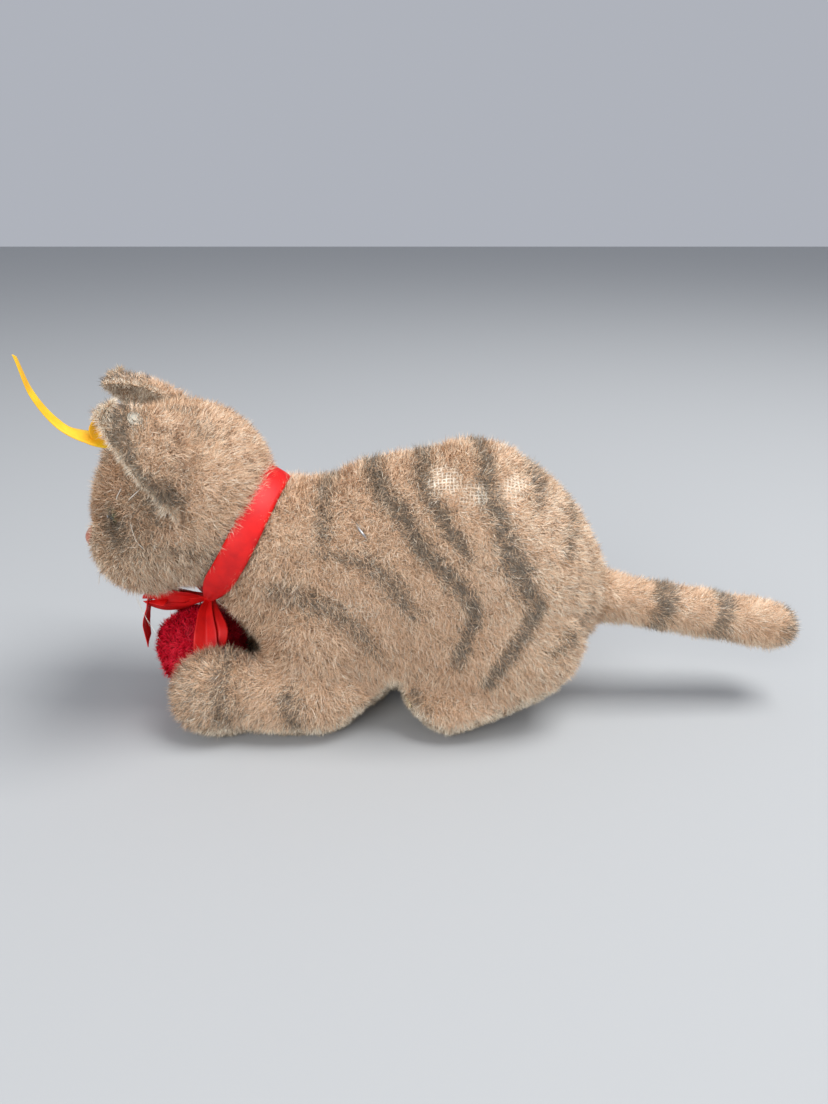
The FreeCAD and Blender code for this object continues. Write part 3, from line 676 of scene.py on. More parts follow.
# hollows and swellings of the head in head axes: place (mirrored if off the middle), stretch, reach and depth
HEAD_FORMS = {
    "eye": ((16.0, -27.0, -1.0), (1.0, 1.0, 1.0), 6.5, 3.2),
    "cheek": ((21.0, -19.0, -17.0), (1.0, 1.0, 1.0), 9.0, -2.2),
    "mouth": ((0.0, -32.0, -25.0), (1.0, 0.5, 0.8), 4.0, 1.2),
    "forehead": ((0.0, -30.0, 13.0), (0.6, 1.0, 1.0), 10.0, 2.6),
    "bridge": ((0.0, -33.0, -8.0), (0.9, 1.0, 0.9), 8.0, -2.2),
    "jaw": ((0.0, -6.0, -31.0), (0.6, 0.6, 1.0), 8.0, -2.6),
    "chin": ((0.0, -24.0, -34.0), (0.8, 1.0, 1.0), 7.0, 1.8),
}
# places laid bare for the nose and the eye, and the middle of the dark pile round the eye
NOSE_PATCH = (0.0, -34.5, -11.5)
EYE_PATCH = (16.2, -26.0, -1.0)
EYE_SHADE = (17.0, -24.5, -4.5)


def rim_gap(local):
    """Distance to the front rim of the nearer ear."""
    return distance_to_line(left_half(local), FRONT_EDGE)[0]


def left_half(local):
    """Places in head axes brought over to the left half."""
    return np.abs(local) * [1, 0, 0] + local * [0, 1, 1]


def head_skin():
    """Woven skin of the head with sunken eyes, fuller cheeks and a chin."""
    skin = cushion_from("head_skin", ["head_left_panel", "head_right_panel", "head_crown_gusset",
                                      "head_stuffing", "head_disc", "head_washer"], HEAD_VOXEL, HEAD_RELAX)
    points = points_of(skin)
    local = world_to_head(points)
    inset = np.full(len(points), HEAD_INSET)
    for place, stretch, reach, depth in HEAD_FORMS.values():
        for side in (-1, 1) if place[0] else (1,):
            inset += depth * bell(gap_to(local, np.array(place) * [side, 1, 1], stretch), reach)
    move_points(skin, points - normals_of(skin) * inset[:, None])
    skin.data.materials.append(backing)
    return skin


def head_comb(local):
    """Brushed away from the nose, over the crown and down the cheeks."""
    return head_turned(unit(local - np.array(COMB_CENTRE)) + np.array(COMB_BIAS))


def head_pile(skin):
    """Pile of the head, darker round the eyes, with soft brow stripes, painted shade behind the ears and
    under their front rims, and painted light on the cheeks.
    """
    mottle = Waves(11)
    fine = Waves(5)
    tuft = wave_field(7)
    curl = wave_field(2.4)

    def wanted(roots, upright):
        local = world_to_head(roots)
        share = np.ones(len(roots))
        share[(roots - NECK_CENTRE) @ NECK_AXIS < 2.0] = 0.0
        share[gap_to(local, NOSE_PATCH, (0.8, 0.3, 1.0)) < 4.0] = 0.0
        share[gap_to(left_half(local), EYE_PATCH) < 3.2] = 0.0
        share[rim_gap(local) < RIM_ROOM] = 0.0
        return share

    roots, upright = scatter(skin, "head", wanted)
    local = world_to_head(roots)
    x, y, z = local.T
    comb = head_comb(local) + tuft(roots) * 0.4 + curl(roots) * 0.6
    eye = gap_to(left_half(local), EYE_SHADE, (0.8, 0.8, 1.0))
    ear_shadow_side = (y < -8.0 + 0.5 * z) & (np.abs(x) > 10.0)
    shaded_groove_gap = distance_to_line(left_half(local), BACK_EDGE)[0]
    brow = (np.abs(np.abs(x) - 7.0) < 2.0) & (z > 9.0) & (y < 6.0)
    cheek = bell(z + 12.0 + 0.25 * y, 2.6) * (np.abs(x) > 14.0)
    # painted shade: grey on the forehead under each ear's front rim, where the ear shades the head
    grey = np.maximum.reduce([
        # painted shade: grey in the groove between each ear's back edge and the crown
        0.74 * bell(eye, 8.0), 0.95 * bell(eye - 2.0, 3.2), 0.34 * bell(shaded_groove_gap, 5.5), 0.45 * brow,
        0.62 * bell(np.maximum(rim_gap(local) - RIM_ROOM, 0.0), 7.5) * ear_shadow_side, 0.26 * cheek])
    front = (1 - smoothstep(-32.0, -24.0, y)) * (1 - smoothstep(-16.0, -6.0, z))
    # painted light: more cream on the cheeks and the sides below them, where the front light falls
    low = (1 - smoothstep(-14.0, -2.0, z)) * smoothstep(8.0, 16.0, np.abs(x))
    cream = np.maximum.reduce([0.5 * front, 0.55 * (1 - smoothstep(-33.0, -26.0, z)), CHEEK_PAINTED_LIGHT * low])
    tones = draw_tones(grey, cream, 0.6 * mottle(roots) + 0.4 * fine(roots))
    length = HEAD_PILE_LENGTH + 0.5 * fine(roots) - NOSE_PILE_LOSS * (1 - smoothstep(-34.0, -26.0, y))
    for side, half in halves(x):
        piece = strands("head", "pile_head_" + side, roots[half], upright[half], comb[half], length[half],
                        tones[half])
        attach(piece, "head", "tan_mohair")


def make_head():
    """Skin, filling and pile of the head."""
    skin = head_skin()
    attach(skin, "head", "tan_mohair", "head_left_panel", "head_right_panel", "head_crown_gusset")
    filling_of(skin, "head_filling", "head_stuffing", "head")
    head_pile(skin)


# ---- tubes, sheets and domes
def smooth_line(points, count):
    """Curve of count points through the given ones (Catmull-Rom)."""
    points = np.asarray(points, float)
    padded = np.vstack([2 * points[0] - points[1], points, 2 * points[-1] - points[-2]])
    t = np.linspace(0, len(points) - 1, count)
    i = np.minimum(t.astype(int), len(points) - 2)
    f = (t - i)[:, None]
    p0, p1, p2, p3 = (padded[i + k] for k in range(4))
    return 0.5 * (2 * p1 + (p2 - p0) * f + (2 * p0 - 5 * p1 + 4 * p2 - p3) * f ** 2
                  + (3 * p1 - p0 - 3 * p2 + p3) * f ** 3)


def grid_faces(rows, columns, offset=0, wrap=False):
    """Quads of a grid of points, wrapped round its columns if asked."""
    faces = []
    last = columns if wrap else columns - 1
    for r in range(rows - 1):
        for c in range(last):
            n = (c + 1) % columns
            faces.append((offset + r * columns + c, offset + r * columns + n,
                          offset + (r + 1) * columns + n, offset + (r + 1) * columns + c))
    return faces


THREAD_SIDES = 6
ACROSS_THREADS = (0.31, 0.22, 0.93)


def tube_points(line, radii):
    """Rings of points round a line, radius by radius."""
    tangent = unit(np.gradient(line, axis=0))
    side = unit(np.cross(tangent, ACROSS_THREADS))
    up = np.cross(side, tangent)
    turn = round_turn(THREAD_SIDES)
    ring = np.cos(turn)[None, :, None] * side[:, None] + np.sin(turn)[None, :, None] * up[:, None]
    return (line[:, None] + ring * radii[:, None, None]).reshape(-1, 3)


def tubes(name, lines, radius, material, taper=0.0, rows=10):
    """Threads or bristles through several lines, as one mesh."""
    points, faces = [], []
    radii = radius * (1 - taper * np.linspace(0, 1, rows))
    radii[-1] = radius * 0.1
    for line in lines:
        offset = sum(len(p) for p in points)
        points.append(tube_points(smooth_line(line, rows), radii))
        faces.extend(grid_faces(rows, THREAD_SIDES, offset, wrap=True))
        faces.append(tuple(offset + k for k in reversed(range(THREAD_SIDES))))
        faces.append(tuple(offset + (rows - 1) * THREAD_SIDES + k for k in range(THREAD_SIDES)))
    return mesh_object(name, np.vstack(points), faces, material)


RIB_PITCH = 0.55
RIBBON_THICK = 0.3
RIBBON_COLUMNS = 13
RIBBED_SHARE = 0.9


def at_shares(share, values):
    """Values spread evenly from 0 to 1, read at the given shares."""
    return np.interp(share, np.linspace(0, 1, np.size(values)), np.atleast_1d(values))


def ribbon_sheet(name, line, across, widths, material, folds=0.0, ribs=0.05, slant=0.0):
    """Ribbed ribbon along a line; folds lifts its middle into a crease, slant cuts its end at an angle."""
    coarse = smooth_line(line, 200)
    length = np.linalg.norm(np.diff(coarse, axis=0), axis=1).sum()
    rows = max(24, int(length / RIB_PITCH) * 2)
    centre = smooth_line(line, rows)
    share = np.linspace(0, 1, rows)
    wide = unit(np.stack([at_shares(share, axis) for axis in np.asarray(across, float).T], axis=1))
    tangent = unit(np.gradient(centre, axis=0))
    wide = unit(wide - tangent * dot(wide, tangent))
    face = np.cross(tangent, wide)
    width = at_shares(share, widths)
    fold = at_shares(share, folds)
    u = np.linspace(-1, 1, RIBBON_COLUMNS)
    lift = fold[:, None] * (0.5 - np.abs(u))[None, :]
    lift = lift + ribs * np.where(np.arange(rows) % 2, 1, -1)[:, None] * (np.abs(u) < RIBBED_SHARE)
    narrow = width / 2 * np.sqrt(np.clip(1 - (fold / np.maximum(width, 0.1)) ** 2, 0.15, 1))
    points = centre[:, None] + wide[:, None] * (u[None, :, None] * narrow[:, None, None])
    points = points + face[:, None] * lift[:, :, None]
    points = points + tangent[:, None] * (slant * u[None, :, None] * share[:, None, None] ** 6)
    faces = grid_faces(rows, RIBBON_COLUMNS)
    return thicken(mesh_object(name, points.reshape(-1, 3), faces, material), RIBBON_THICK)


def frame_of(facing):
    """Facing, sideways and upward unit vectors."""
    facing = unit(facing)
    side = unit(np.cross([0.0, 0.0, 1.0], facing))
    return facing, side, np.cross(facing, side)


# ---- more materials
def satin_material(name, colour, shade):
    """Ribbed satin: lighter and darker along slow waves, with a soft sheen."""
    material, nodes, links, shader, _ = mottled_material(
        name, 0.16, 4.0, [(0.3, shade), (0.62, colour)], {"Roughness": 0.5, "Specular IOR Level": 0.35})
    weave = texture_mm(nodes, links, 2.2, Detail=1.0)
    add_bump(nodes, links, shader, weave.outputs["Fac"], 0.25, 0.1)
    return material


def fibre_material(name, dark, light, per_mm, roughness=0.9, metallic=0.0):
    """Noise-mottled material for stuffing, board, thread and plain metal."""
    material, nodes, links, shader, noise = mottled_material(
        name, per_mm, 6.0, [(0.32, dark), (0.68, light)], {"Roughness": roughness, "Metallic": metallic})
    add_bump(nodes, links, shader, noise.outputs["Fac"], 0.4, 0.2)
    return material


def glass_material(name, colour, dark):
    """Glossy, faintly mottled glass."""
    stops = [(0.3, dark), (0.7, colour)]
    return mottled_material(name, 0.9, 3.0, stops, {"Roughness": 0.06, "Coat Weight": 0.8})[0]


red_satin = satin_material("red_satin", (0.78, 0.010, 0.008), (0.58, 0.006, 0.008))
yellow_weave = satin_material("yellow_weave", (0.98, 0.62, 0.02), (0.92, 0.42, 0.01))
rust_thread = fibre_material("rust_thread", (0.42, 0.15, 0.10), (0.62, 0.27, 0.19), 1.4, 0.6)
pale_thread = fibre_material("pale_thread", (0.50, 0.40, 0.28), (0.72, 0.62, 0.47), 1.4, 0.7)
nylon = fibre_material("nylon_bristle", (0.74, 0.70, 0.60), (0.90, 0.87, 0.80), 0.8, 0.3)
stuffing = fibre_material("stuffing", (0.50, 0.38, 0.20), (0.76, 0.64, 0.40), 0.9)
fibreboard = fibre_material("fibreboard", (0.24, 0.15, 0.09), (0.42, 0.29, 0.18), 0.7)
steel = fibre_material("steel", (0.30, 0.30, 0.31), (0.52, 0.52, 0.53), 0.6, 0.4, 1.0)
nickel = fibre_material("nickel", (0.30, 0.28, 0.23), (0.46, 0.43, 0.36), 0.5, 0.6, 0.4)
wool_core = fibre_material("wool_core", (0.16, 0.0, 0.01), (0.42, 0.01, 0.035), 0.5)
WOOL = [(0.66, 0.004, 0.022), (0.80, 0.008, 0.035), (0.46, 0.002, 0.012), (0.88, 0.03, 0.07)]
WOOL_SHARES = [0.42, 0.30, 0.18, 0.10]
WOOL_LENGTH = 3.0
WOOL_DEPTH = 2.4
wool_materials = [pile_material("wool_tone_%d" % i, tone, 0.05, WOOL_SHEEN_TINT, 0.12)
                  for i, tone in enumerate(WOOL)]


iris_glass = glass_material("iris_glass", (0.14, 0.16, 0.05), (0.06, 0.075, 0.02))
pupil_glass = glass_material("pupil_glass", (0.012, 0.012, 0.010), (0.004, 0.004, 0.004))


# ---- ears
EAR_SPHERE = np.array([6.152, -23.019, 11.118])
EAR_MIDDLE_RADIUS = 31.0
RIVET_PLACE = np.array([29.1, -12.9, 34.6])
EAR_VOXEL = 0.7
EAR_RELAX = 4
EAR_INSET = 0.5
EAR_PILE_LENGTH = 4.0
LINING_PILE_LENGTH = 2.4


def ear_pile(skin, name, side):
    """Short pile of one ear: pale rim, grey band behind it, grey tip, cream lining."""
    mottle = Waves(9)
    tuft = wave_field(6)
    flip = MIRROR if side < 0 else np.ones(3)

    def wanted(roots, upright):
        local = world_to_head(roots) * flip
        share = np.ones(len(roots))
        if side > 0:
            share[gap_to(local, RIVET_PLACE) < 1.9] = 0.1
        share[np.linalg.norm(local, axis=1) < SKULL_RADIUS + 0.8] = 0.0
        return share

    roots, upright = scatter(skin, "ear", wanted)
    local = world_to_head(roots) * flip
    outside = gap_to(local, EAR_SPHERE) > EAR_MIDDLE_RADIUS
    front_gap, place = distance_to_line(local, FRONT_EDGE)
    wobble = 0.8 * mottle(roots)
    band = smoothstep(1.6, 2.8, front_gap + wobble) * (1 - smoothstep(4.4, 6.6, front_gap + wobble))
    grey = 0.9 * band * (1 - 0.6 * smoothstep(0.75, 1.0, place))
    grey = np.maximum(grey, 0.66 * (1 - smoothstep(6.0, 15.0, gap_to(local, EAR_TIP) + wobble)))
    rim = 1 - smoothstep(1.4, 2.6, front_gap + wobble)
    grey = np.where(outside, grey * (1 - 0.85 * rim), 0.10)
    cream = np.where(outside, 0.85 * rim, 0.8)
    tones = draw_tones(grey, cream, mottle(roots))
    root_share = 1 - smoothstep(2.0, 10.0, np.linalg.norm(local, axis=1) - SKULL_RADIUS)
    length = np.where(outside, EAR_PILE_LENGTH + 1.2 * root_share, LINING_PILE_LENGTH) + 0.8 * rim
    toward_tip = unit(EAR_TIP - (EAR_LOW + EAR_BACK) / 2)
    comb = head_turned(toward_tip * flip) * 0.4 + tuft(roots) * 0.9
    return strands("ear", name, roots, upright, comb, length, tones)


def ear_rim(name, side):
    """Thick pale roll of pile along the front rim and round the tip of one ear."""
    back_tip = EAR_TIP - EAR_FORWARD * 5.0
    course = [EAR_LOW + [1.0, -0.4, -0.6], EAR_LOW + [1.8, -1.8, 5.0], FRONT_EDGE[1], FRONT_EDGE[0], back_tip]
    line = smooth_line(course, 200)
    count = int(PILES["rim"][0] * DENSITY * np.linalg.norm(np.diff(line, axis=0), axis=1).sum())
    place = rng.uniform(0, len(line) - 1.001, count)
    index = place.astype(int)
    core = line[index] + (line[index + 1] - line[index]) * (place - index)[:, None]
    tangent = unit(line[index + 1] - line[index])
    outward = unit(core - EAR_SPHERE)
    ahead = np.cross(tangent, outward)
    ahead *= np.where(dot(ahead, EAR_FORWARD) < 0, -1.0, 1.0)
    turn = rng.uniform(-0.75, 0.55, count)[:, None] * math.pi
    upright = unit(outward * np.cos(turn - 0.4) + ahead * np.sin(turn + 1.2))
    roots = core + upright * rng.uniform(0.3, 1.2, size=(count, 1))
    fullness = smoothstep(0.02, 0.26, place / len(line))
    tones = draw_tones(np.full(count, 0.08), 0.66 * fullness, np.zeros(count))
    flip = MIRROR if side < 0 else np.ones(3)
    comb = wave_field(2.6)(roots) - unit(tangent) * 0.3
    return strands("rim", name, head_to_world(roots * flip), head_turned(upright * flip),
                   head_turned(comb * flip), 1.5 + 1.6 * fullness, tones, shaded_root=False)


def make_ears():
    """Both ears: thick cupped cloth with its pile."""
    for side, label in SIDES:
        body = "ear_" + label
        cloth = [body + "_back", body + "_lining"]
        skin = cushion_from(body + "_skin", cloth, EAR_VOXEL, EAR_RELAX)
        move_points(skin, points_of(skin) - normals_of(skin) * EAR_INSET)
        skin.data.materials.append(backing)
        attach(skin, body, "tan_mohair", *cloth)
        attach(ear_pile(skin, "pile_" + body, side), body, "tan_mohair")
        attach(ear_rim("pile_rim_" + label, side), body, "tan_mohair")


TAG_RIM = np.array([27.8, -21.4, 28.8])
TAG_FOLD = [(28.9, -22.9, 35.2), (29.2, -24.6, 32.0), (28.8, -24.2, 29.2)]
TAG_FOLD_ACROSS = (0.1, -0.95, -0.25)
TAG_INSIDE = [(-3.0, 27.9), (2.0, 28.0), (7.3, 27.2)]
TAG_OUTSIDE = [(28.4, -27.5, 29.8), (26.5, -35.8, 34.3), (25.4, -42.0, 43.5), (25.0, -45.0, 54.5)]
TAG_END_ACROSS = (0.98, 0.18, -0.13)


def make_tag():
    """Plain yellow woven tag from under the rivet, over the ear's rim and up, with a fold beside the rim."""
    outward = unit(RIVET_PLACE - EAR_SPHERE)
    towards = TAG_RIM - EAR_SPHERE
    along = unit(towards - outward * dot(towards, outward))
    across = np.cross(outward, along)
    course = [EAR_SPHERE + along * away + outward * height for away, height in TAG_INSIDE]
    course += [np.array(place) for place in TAG_OUTSIDE]
    end_across = unit(TAG_END_ACROSS)
    end_across = end_across * np.sign(across @ end_across)
    turned = [across] * 3 + [unit(across * 0.35 + end_across * 0.65)] + [end_across] * 3
    tag = ribbon_sheet("ear_tag_ribbon", head_to_world(course), head_turned(turned),
                       [7.6] * 4 + [7.0, 7.4, 7.6], yellow_weave, [0, 0, 0, 0.4, 1.6, 1.2, 0.5], 0.03, 1.2)
    fold = ribbon_sheet("ear_tag_fold", head_to_world(TAG_FOLD), head_turned([TAG_FOLD_ACROSS] * 3),
                        [3.4, 4.8, 4.4], yellow_weave, [0.4, 0.9, 0.6], 0.03)
    attach(tag, "tag", "yellow_ribbon", "ear_tag")
    attach(fold, "tag", "yellow_ribbon")


# ---- face
def on_muzzle(turn, height, proud):
    """Point of the muzzle in head axes at a turn to the left and a height, both in degrees."""
    side, rise = math.radians(turn), math.radians(height)
    size = MUZZLE_SIZE + proud
    level = math.cos(rise)
    return MUZZLE_CENTRE + size * [level * math.sin(side), -level * math.cos(side), math.sin(rise)]


EYE_DIRECTION = np.array([17.0, -26.0, -1.0])
EYE_SEAT = 28.6
EYE_RADIUS = 3.4
EYE_HEIGHT = 2.0
EYE_RINGS = 12
EYE_SEGMENTS = 40
# the pupil's share of the eye
PUPIL_WIDTH = 0.30
PUPIL_HEIGHT = 0.85


def make_eyes():
    """Domed glass eyes with upright slit pupils, sunk into the pile."""
    r = np.linspace(0.0, 1.0, EYE_RINGS)[:, None]
    turn = round_turn(EYE_SEGMENTS)[None, :]
    u, v = r * np.cos(turn), r * np.sin(turn)
    dome = np.sqrt(np.clip(1 - r ** 2, 0, 1)) * np.ones_like(turn)
    for side, label in SIDES:
        facing, across, up = frame_of(EYE_DIRECTION * [side, 1.0, 1.0])
        local = (facing * EYE_SEAT + EYE_RADIUS * (u[..., None] * across + v[..., None] * up)
                 + EYE_HEIGHT * dome[..., None] * facing)
        back = facing * (EYE_SEAT - 1.2)
        points = np.vstack([local.reshape(-1, 3), back[None]])
        faces = grid_faces(EYE_RINGS, EYE_SEGMENTS, wrap=True)
        rim = (EYE_RINGS - 1) * EYE_SEGMENTS
        faces += [(rim + k, rim + (k + 1) % EYE_SEGMENTS, len(points) - 1) for k in range(EYE_SEGMENTS)]
        eye = mesh_object("glass_eye_" + label, head_to_world(points), faces, iris_glass)
        eye.data.materials.append(pupil_glass)
        for index, polygon in enumerate(eye.data.polygons):
            ring, segment = divmod(index, EYE_SEGMENTS)
            mid = (ring + 0.5) / (EYE_RINGS - 1)
            angle = 2 * math.pi * (segment + 0.5) / EYE_SEGMENTS
            slit_gap = math.hypot(mid * math.cos(angle) / PUPIL_WIDTH, mid * math.sin(angle) / PUPIL_HEIGHT)
            polygon.material_index = int(slit_gap < 1 or ring >= EYE_RINGS - 2)
        attach(eye, "head", "eye_glass", "eye_" + label)


NOSE_ROWS = 8
NOSE_TOP = 19.0
NOSE_PITCH = 2.6
NOSE_PROUD = 0.4
MOUTH_PROUD = 0.2
MOUTH_CURVE = ((2, -21), (12, -28), (24, -29))


def make_nose():
    """Satin-stitched nose of level threads, narrower towards the lip, and the stitched mouth."""
    nose = []
    for row in range(NOSE_ROWS):
        height = NOSE_TOP - row * NOSE_PITCH
        reach = 12.5 * (1 - (row / NOSE_ROWS) ** 1.6 * 0.8)
        swell = 1.5 * math.sin(math.pi * (row + 0.8) / (NOSE_ROWS + 0.6))
        turns = [-reach, -reach * 0.5, 0.0, reach * 0.5, reach]
        nose.append([on_muzzle(t, height, NOSE_PROUD + swell * (1 - (t / (reach + 1)) ** 2)) for t in turns])
    mouth = [[on_muzzle(0, height, MOUTH_PROUD) for height in (-2.0, -11.0, -21.0)]]
    for side in (-1, 1):
        mouth.append([on_muzzle(side * turn, height, MOUTH_PROUD) for turn, height in MOUTH_CURVE])
    for label, lines, radius in (("nose", nose, 0.50), ("mouth", mouth, 0.35)):
        thread = tubes(label + "_stitches", [head_to_world(line) for line in lines], radius, rust_thread)
        attach(thread, "head", "rust_thread", label + "_embroidery")


# bristles of the left side in the cat's frame: brow, cheek and lip broken short, two long ones under the chin
STUBS = [
    [(22.0, -84.0, 92.0), (29.0, -85.6, 93.5), (31.5, -82.6, 98.5)],
    [(23.0, -80.0, 92.0), (30.0, -81.4, 93.5), (32.5, -76.6, 98.0)],
    [(23.0, -80.0, 86.0), (29.0, -82.0, 87.5), (31.0, -80.5, 80.0), (31.0, -77.5, 76.0)],
    [(12.0, -96.0, 62.0), (18.0, -99.0, 62.0), (24.0, -98.0, 60.0)],
]
HAIRS = [
    [(12.0, -90.0, 60.0), (22.0, -86.0, 53.0), (30.0, -77.0, 41.5)],
    [(12.0, -87.0, 60.0), (21.0, -86.0, 54.0), (28.0, -80.5, 45.5)],
]


def make_whiskers():
    """Stiff nylon bristles, some broken short, the same on both sides of the face."""
    for side, label in SIDES:
        flip = MIRROR if side < 0 else 1.0
        stubs = [head_to_world(world_to_head(line) * flip) for line in STUBS]
        hairs = [head_to_world(world_to_head(line) * flip) for line in HAIRS]
        stubs = tubes("whisker_stubs_" + label, stubs, 0.19, nylon, taper=0.4)
        hairs = tubes("whisker_hairs_" + label, hairs, 0.10, nylon, taper=0.5)
        attach(stubs, "head", "nylon", "whiskers_" + label)
        attach(hairs, "head", "nylon")


# ---- ribbon and bow
RIBBON_WIDTH = 10.0
RING_THICK = 0.35
RING_ROWS = 560
RING_COLUMNS = 9
KNOT_CENTRE = NECK_CENTRE - NECK_UP * 30.6
KNOT_SIZE = np.array([2.6, 2.5, 2.5])
# parts of the bow, from the knot: CAD nodes, course, direction across it, widths, folds, slant of the end
BOW = {
    "bow_front_loop": (
        ["bow_loop_front"],
        [(1, -1.5, 0.5), (6, -8, 2.6), (7, -15, 3.6), (6.2, -19, 1.6), (3.6, -15.5, -2), (2.4, -8, -2.2),
         (0.5, -1.5, -0.8)],
        [(1, 0.1, 0.5), (0.8, 0, 1), (0.55, 0, 1), (0.6, 0, 1), (0.7, 0, 1), (0.8, 0, 1), (1, 0, 0.5)],
        [3.0, 8.4, 9.6, 9.4, 9.6, 8.0, 3.0], [1.6, 1.2, 0.4, 0.2, 0.6, 1.2, 1.6], 0.0),
    "bow_far_loop": (
        ["bow_loop_far"],
        [(-1, -1, 0.4), (-7, -5, 2.2), (-14, -8.5, 2.4), (-18, -10, 0), (-13.5, -7, -2.2), (-6, -3.5, -1.6),
         (-0.5, -1, -0.6)],
        [(0, 1, 0.5), (0, -1, 0.7), (0, -1, 0.4), (0, -1, 0.5), (0, -1, 0.5), (0, -1, 0.7), (0, -1, 0.5)],
        [3.0, 8.0, 9.4, 9.4, 9.4, 8.0, 3.0], [1.6, 1.0, 0.3, 0.2, 0.4, 1.0, 1.6], 0.0),
    "bow_near_tail": (
        ["bow_tail_near"],
        [(1.5, -0.3, -1), (8, -0.2, -3.2), (14, 0.6, -8.5), (16.8, 0.8, -14), (17.2, 0.8, -21)],
        [(0, -1, 0), (0, -1, 0), (0.1, -1, 0), (0, -1, 0.1), (0, -1, 0.12)],
        [2.8, 5.6, 8.4, 9.2, 7.4], [1.2, 2.2, 2.6, 1.8, 0.8], -2.0),
    "bow_near_fold": (
        [],
        [(1.2, 0.8, -1.2), (7, 2.6, -3.6), (13, 5.6, -8), (15.2, 4.6, -13), (15.6, 2, -17.5)],
        [(0, 1, 0), (0, 1, 0.4), (0, 1, 0.2), (0, 1, -0.2), (0, 1, -0.3)],
        [2.6, 4.6, 6.0, 5.6, 3.8], [1.0, 1.6, 1.0, 0.6, 0.3], 0.0),
    "bow_front_tail": (
        ["bow_tail_front"],
        [(0.5, -2, 0.8), (2, -11, 3), (4, -19.5, 4), (3.8, -22.6, -2), (3.4, -24.6, -9), (3.4, -24.4, -17.5)],
        [(1, 0, 0), (1, 0, 0), (1, -0.2, 0), (1, 0, 0), (1, -0.15, 0), (1, 0, 0)],
        [2.6, 5.0, 7.0, 7.0, 6.5, 5.5], [1.2, 0.6, 0.2, 0.2, 0.4, 0.2], 1.5),
}
LOOSE_THREAD = [(1.5, 1.5, 1.5), (3.5, 4.5, -1.8), (5.0, 8.0, -1.6), (6.0, 10.5, 0.5)]


def make_ribbon():
    """Ribbon round the neck, gathered where it runs into the knot at the throat."""
    rows, columns = RING_ROWS, RING_COLUMNS
    turn = round_turn(rows)
    side = np.array([1.0, 0.0, 0.0])
    radial = np.cos(turn)[:, None] * NECK_UP + np.sin(turn)[:, None] * side
    gather = 1 - smoothstep(0.25, 1.15, np.abs(turn - math.pi))
    radius = RIBBON_RADIUS + 0.5 + 2.2 * gather ** 2 + 0.25 * np.sin(turn * 5.0 + 1.0)
    width = RIBBON_WIDTH * (1 - 0.66 * gather)
    shift = 0.35 * np.sin(turn * 3.0)
    u = np.linspace(-1, 1, columns)
    pleat = 0.35 * gather[:, None] * np.cos(u * 9.0)[None, :]
    rib = 0.09 * np.where(np.arange(rows) % 2, 1, -1)[:, None] * (np.abs(u) < RIBBED_SHARE)
    distance = radius[:, None] + pleat + rib - 0.5 * (u ** 2)[None, :]
    points = (NECK_CENTRE + radial[:, None] * distance[:, :, None]
              + NECK_AXIS * ((u[None, :] * width[:, None] / 2 + shift[:, None])[:, :, None]))
    faces = grid_faces(rows, columns)
    faces += [((rows - 1) * columns + c, (rows - 1) * columns + c + 1, c + 1, c) for c in range(columns - 1)]
    return thicken(mesh_object("neck_ribbon_band", points.reshape(-1, 3), faces, red_satin), RING_THICK)


def make_knot():
    """Pinched knot with gathers running through it."""
    rows, columns = 24, 40
    rise = np.linspace(-math.pi / 2, math.pi / 2, rows)[:, None]
    turn = round_turn(columns)[None, :]
    gather = 1 + 0.10 * np.cos(turn * 7) * np.cos(rise)
    ball = np.stack([np.sin(rise) * np.ones_like(turn), np.cos(rise) * np.cos(turn) * gather,
                     np.cos(rise) * np.sin(turn) * gather], axis=-1)
    return mesh_object("bow_knot_gathers", (KNOT_CENTRE + ball * KNOT_SIZE).reshape(-1, 3),
                       grid_faces(rows, columns, wrap=True), red_satin)


def make_neckwear():
    """Ribbon, knot, bow and the thin thread tied round the knot."""
    attach(make_ribbon(), "torso", "red_satin", "neck_ribbon")
    attach(make_knot(), "torso", "red_satin", "bow_knot")
    for name, (nodes, course, across, widths, folds, slant) in BOW.items():
        piece = ribbon_sheet(name, KNOT_CENTRE + course, across, widths, red_satin, folds, slant=slant)
        attach(piece, "torso", "red_satin", *nodes)
    turn = np.linspace(0, 2 * math.pi * 1.9, 26)
    wrap = np.stack([1.4 - 0.25 * turn, 2.9 * np.cos(turn), 2.9 * np.sin(turn)], axis=1)
    lines = [KNOT_CENTRE + wrap, KNOT_CENTRE + LOOSE_THREAD]
    attach(tubes("bow_tie_thread", lines, 0.2, pale_thread, rows=60), "torso", "red_satin", "bow_thread")


# ---- ball
def make_ball():
    """Ball of curly wool held between the paws."""
    rows, columns = 40, 64
    rise = np.linspace(-math.pi / 2, math.pi / 2, rows)[:, None]
    turn = round_turn(columns)[None, :]
    sphere = np.stack([np.cos(rise) * np.cos(turn), np.cos(rise) * np.sin(turn),
                       np.sin(rise) * np.ones_like(turn)], axis=-1).reshape(-1, 3)
    lumps = Waves(9)
    radius = BALL_RADIUS - WOOL_DEPTH + 0.8 * lumps(sphere * BALL_RADIUS)
    core = mesh_object("ball_core", BALL_CENTRE + sphere * radius[:, None],
                       grid_faces(rows, columns, wrap=True), wool_core)
    attach(core, "torso", "red_wool", "ball_wool_cover")

    roots = scatter(core, "wool")[0]
    count = len(roots)
    lean = wave_field(3.2)(roots)
    sway = unit(lean + rng.normal(size=(count, 3)) * 0.7)
    length = WOOL_LENGTH + 0.8 * lumps(roots) + rng.uniform(-0.4, 0.7, count)
    tones = rng.choice(len(WOOL), count, p=WOOL_SHARES)
    curls = strands("wool", "ball_wool_curls", roots, unit(roots - BALL_CENTRE), sway, length, tones,
                    wool_materials, shaded_root=False)
    attach(curls, "torso", "red_wool")


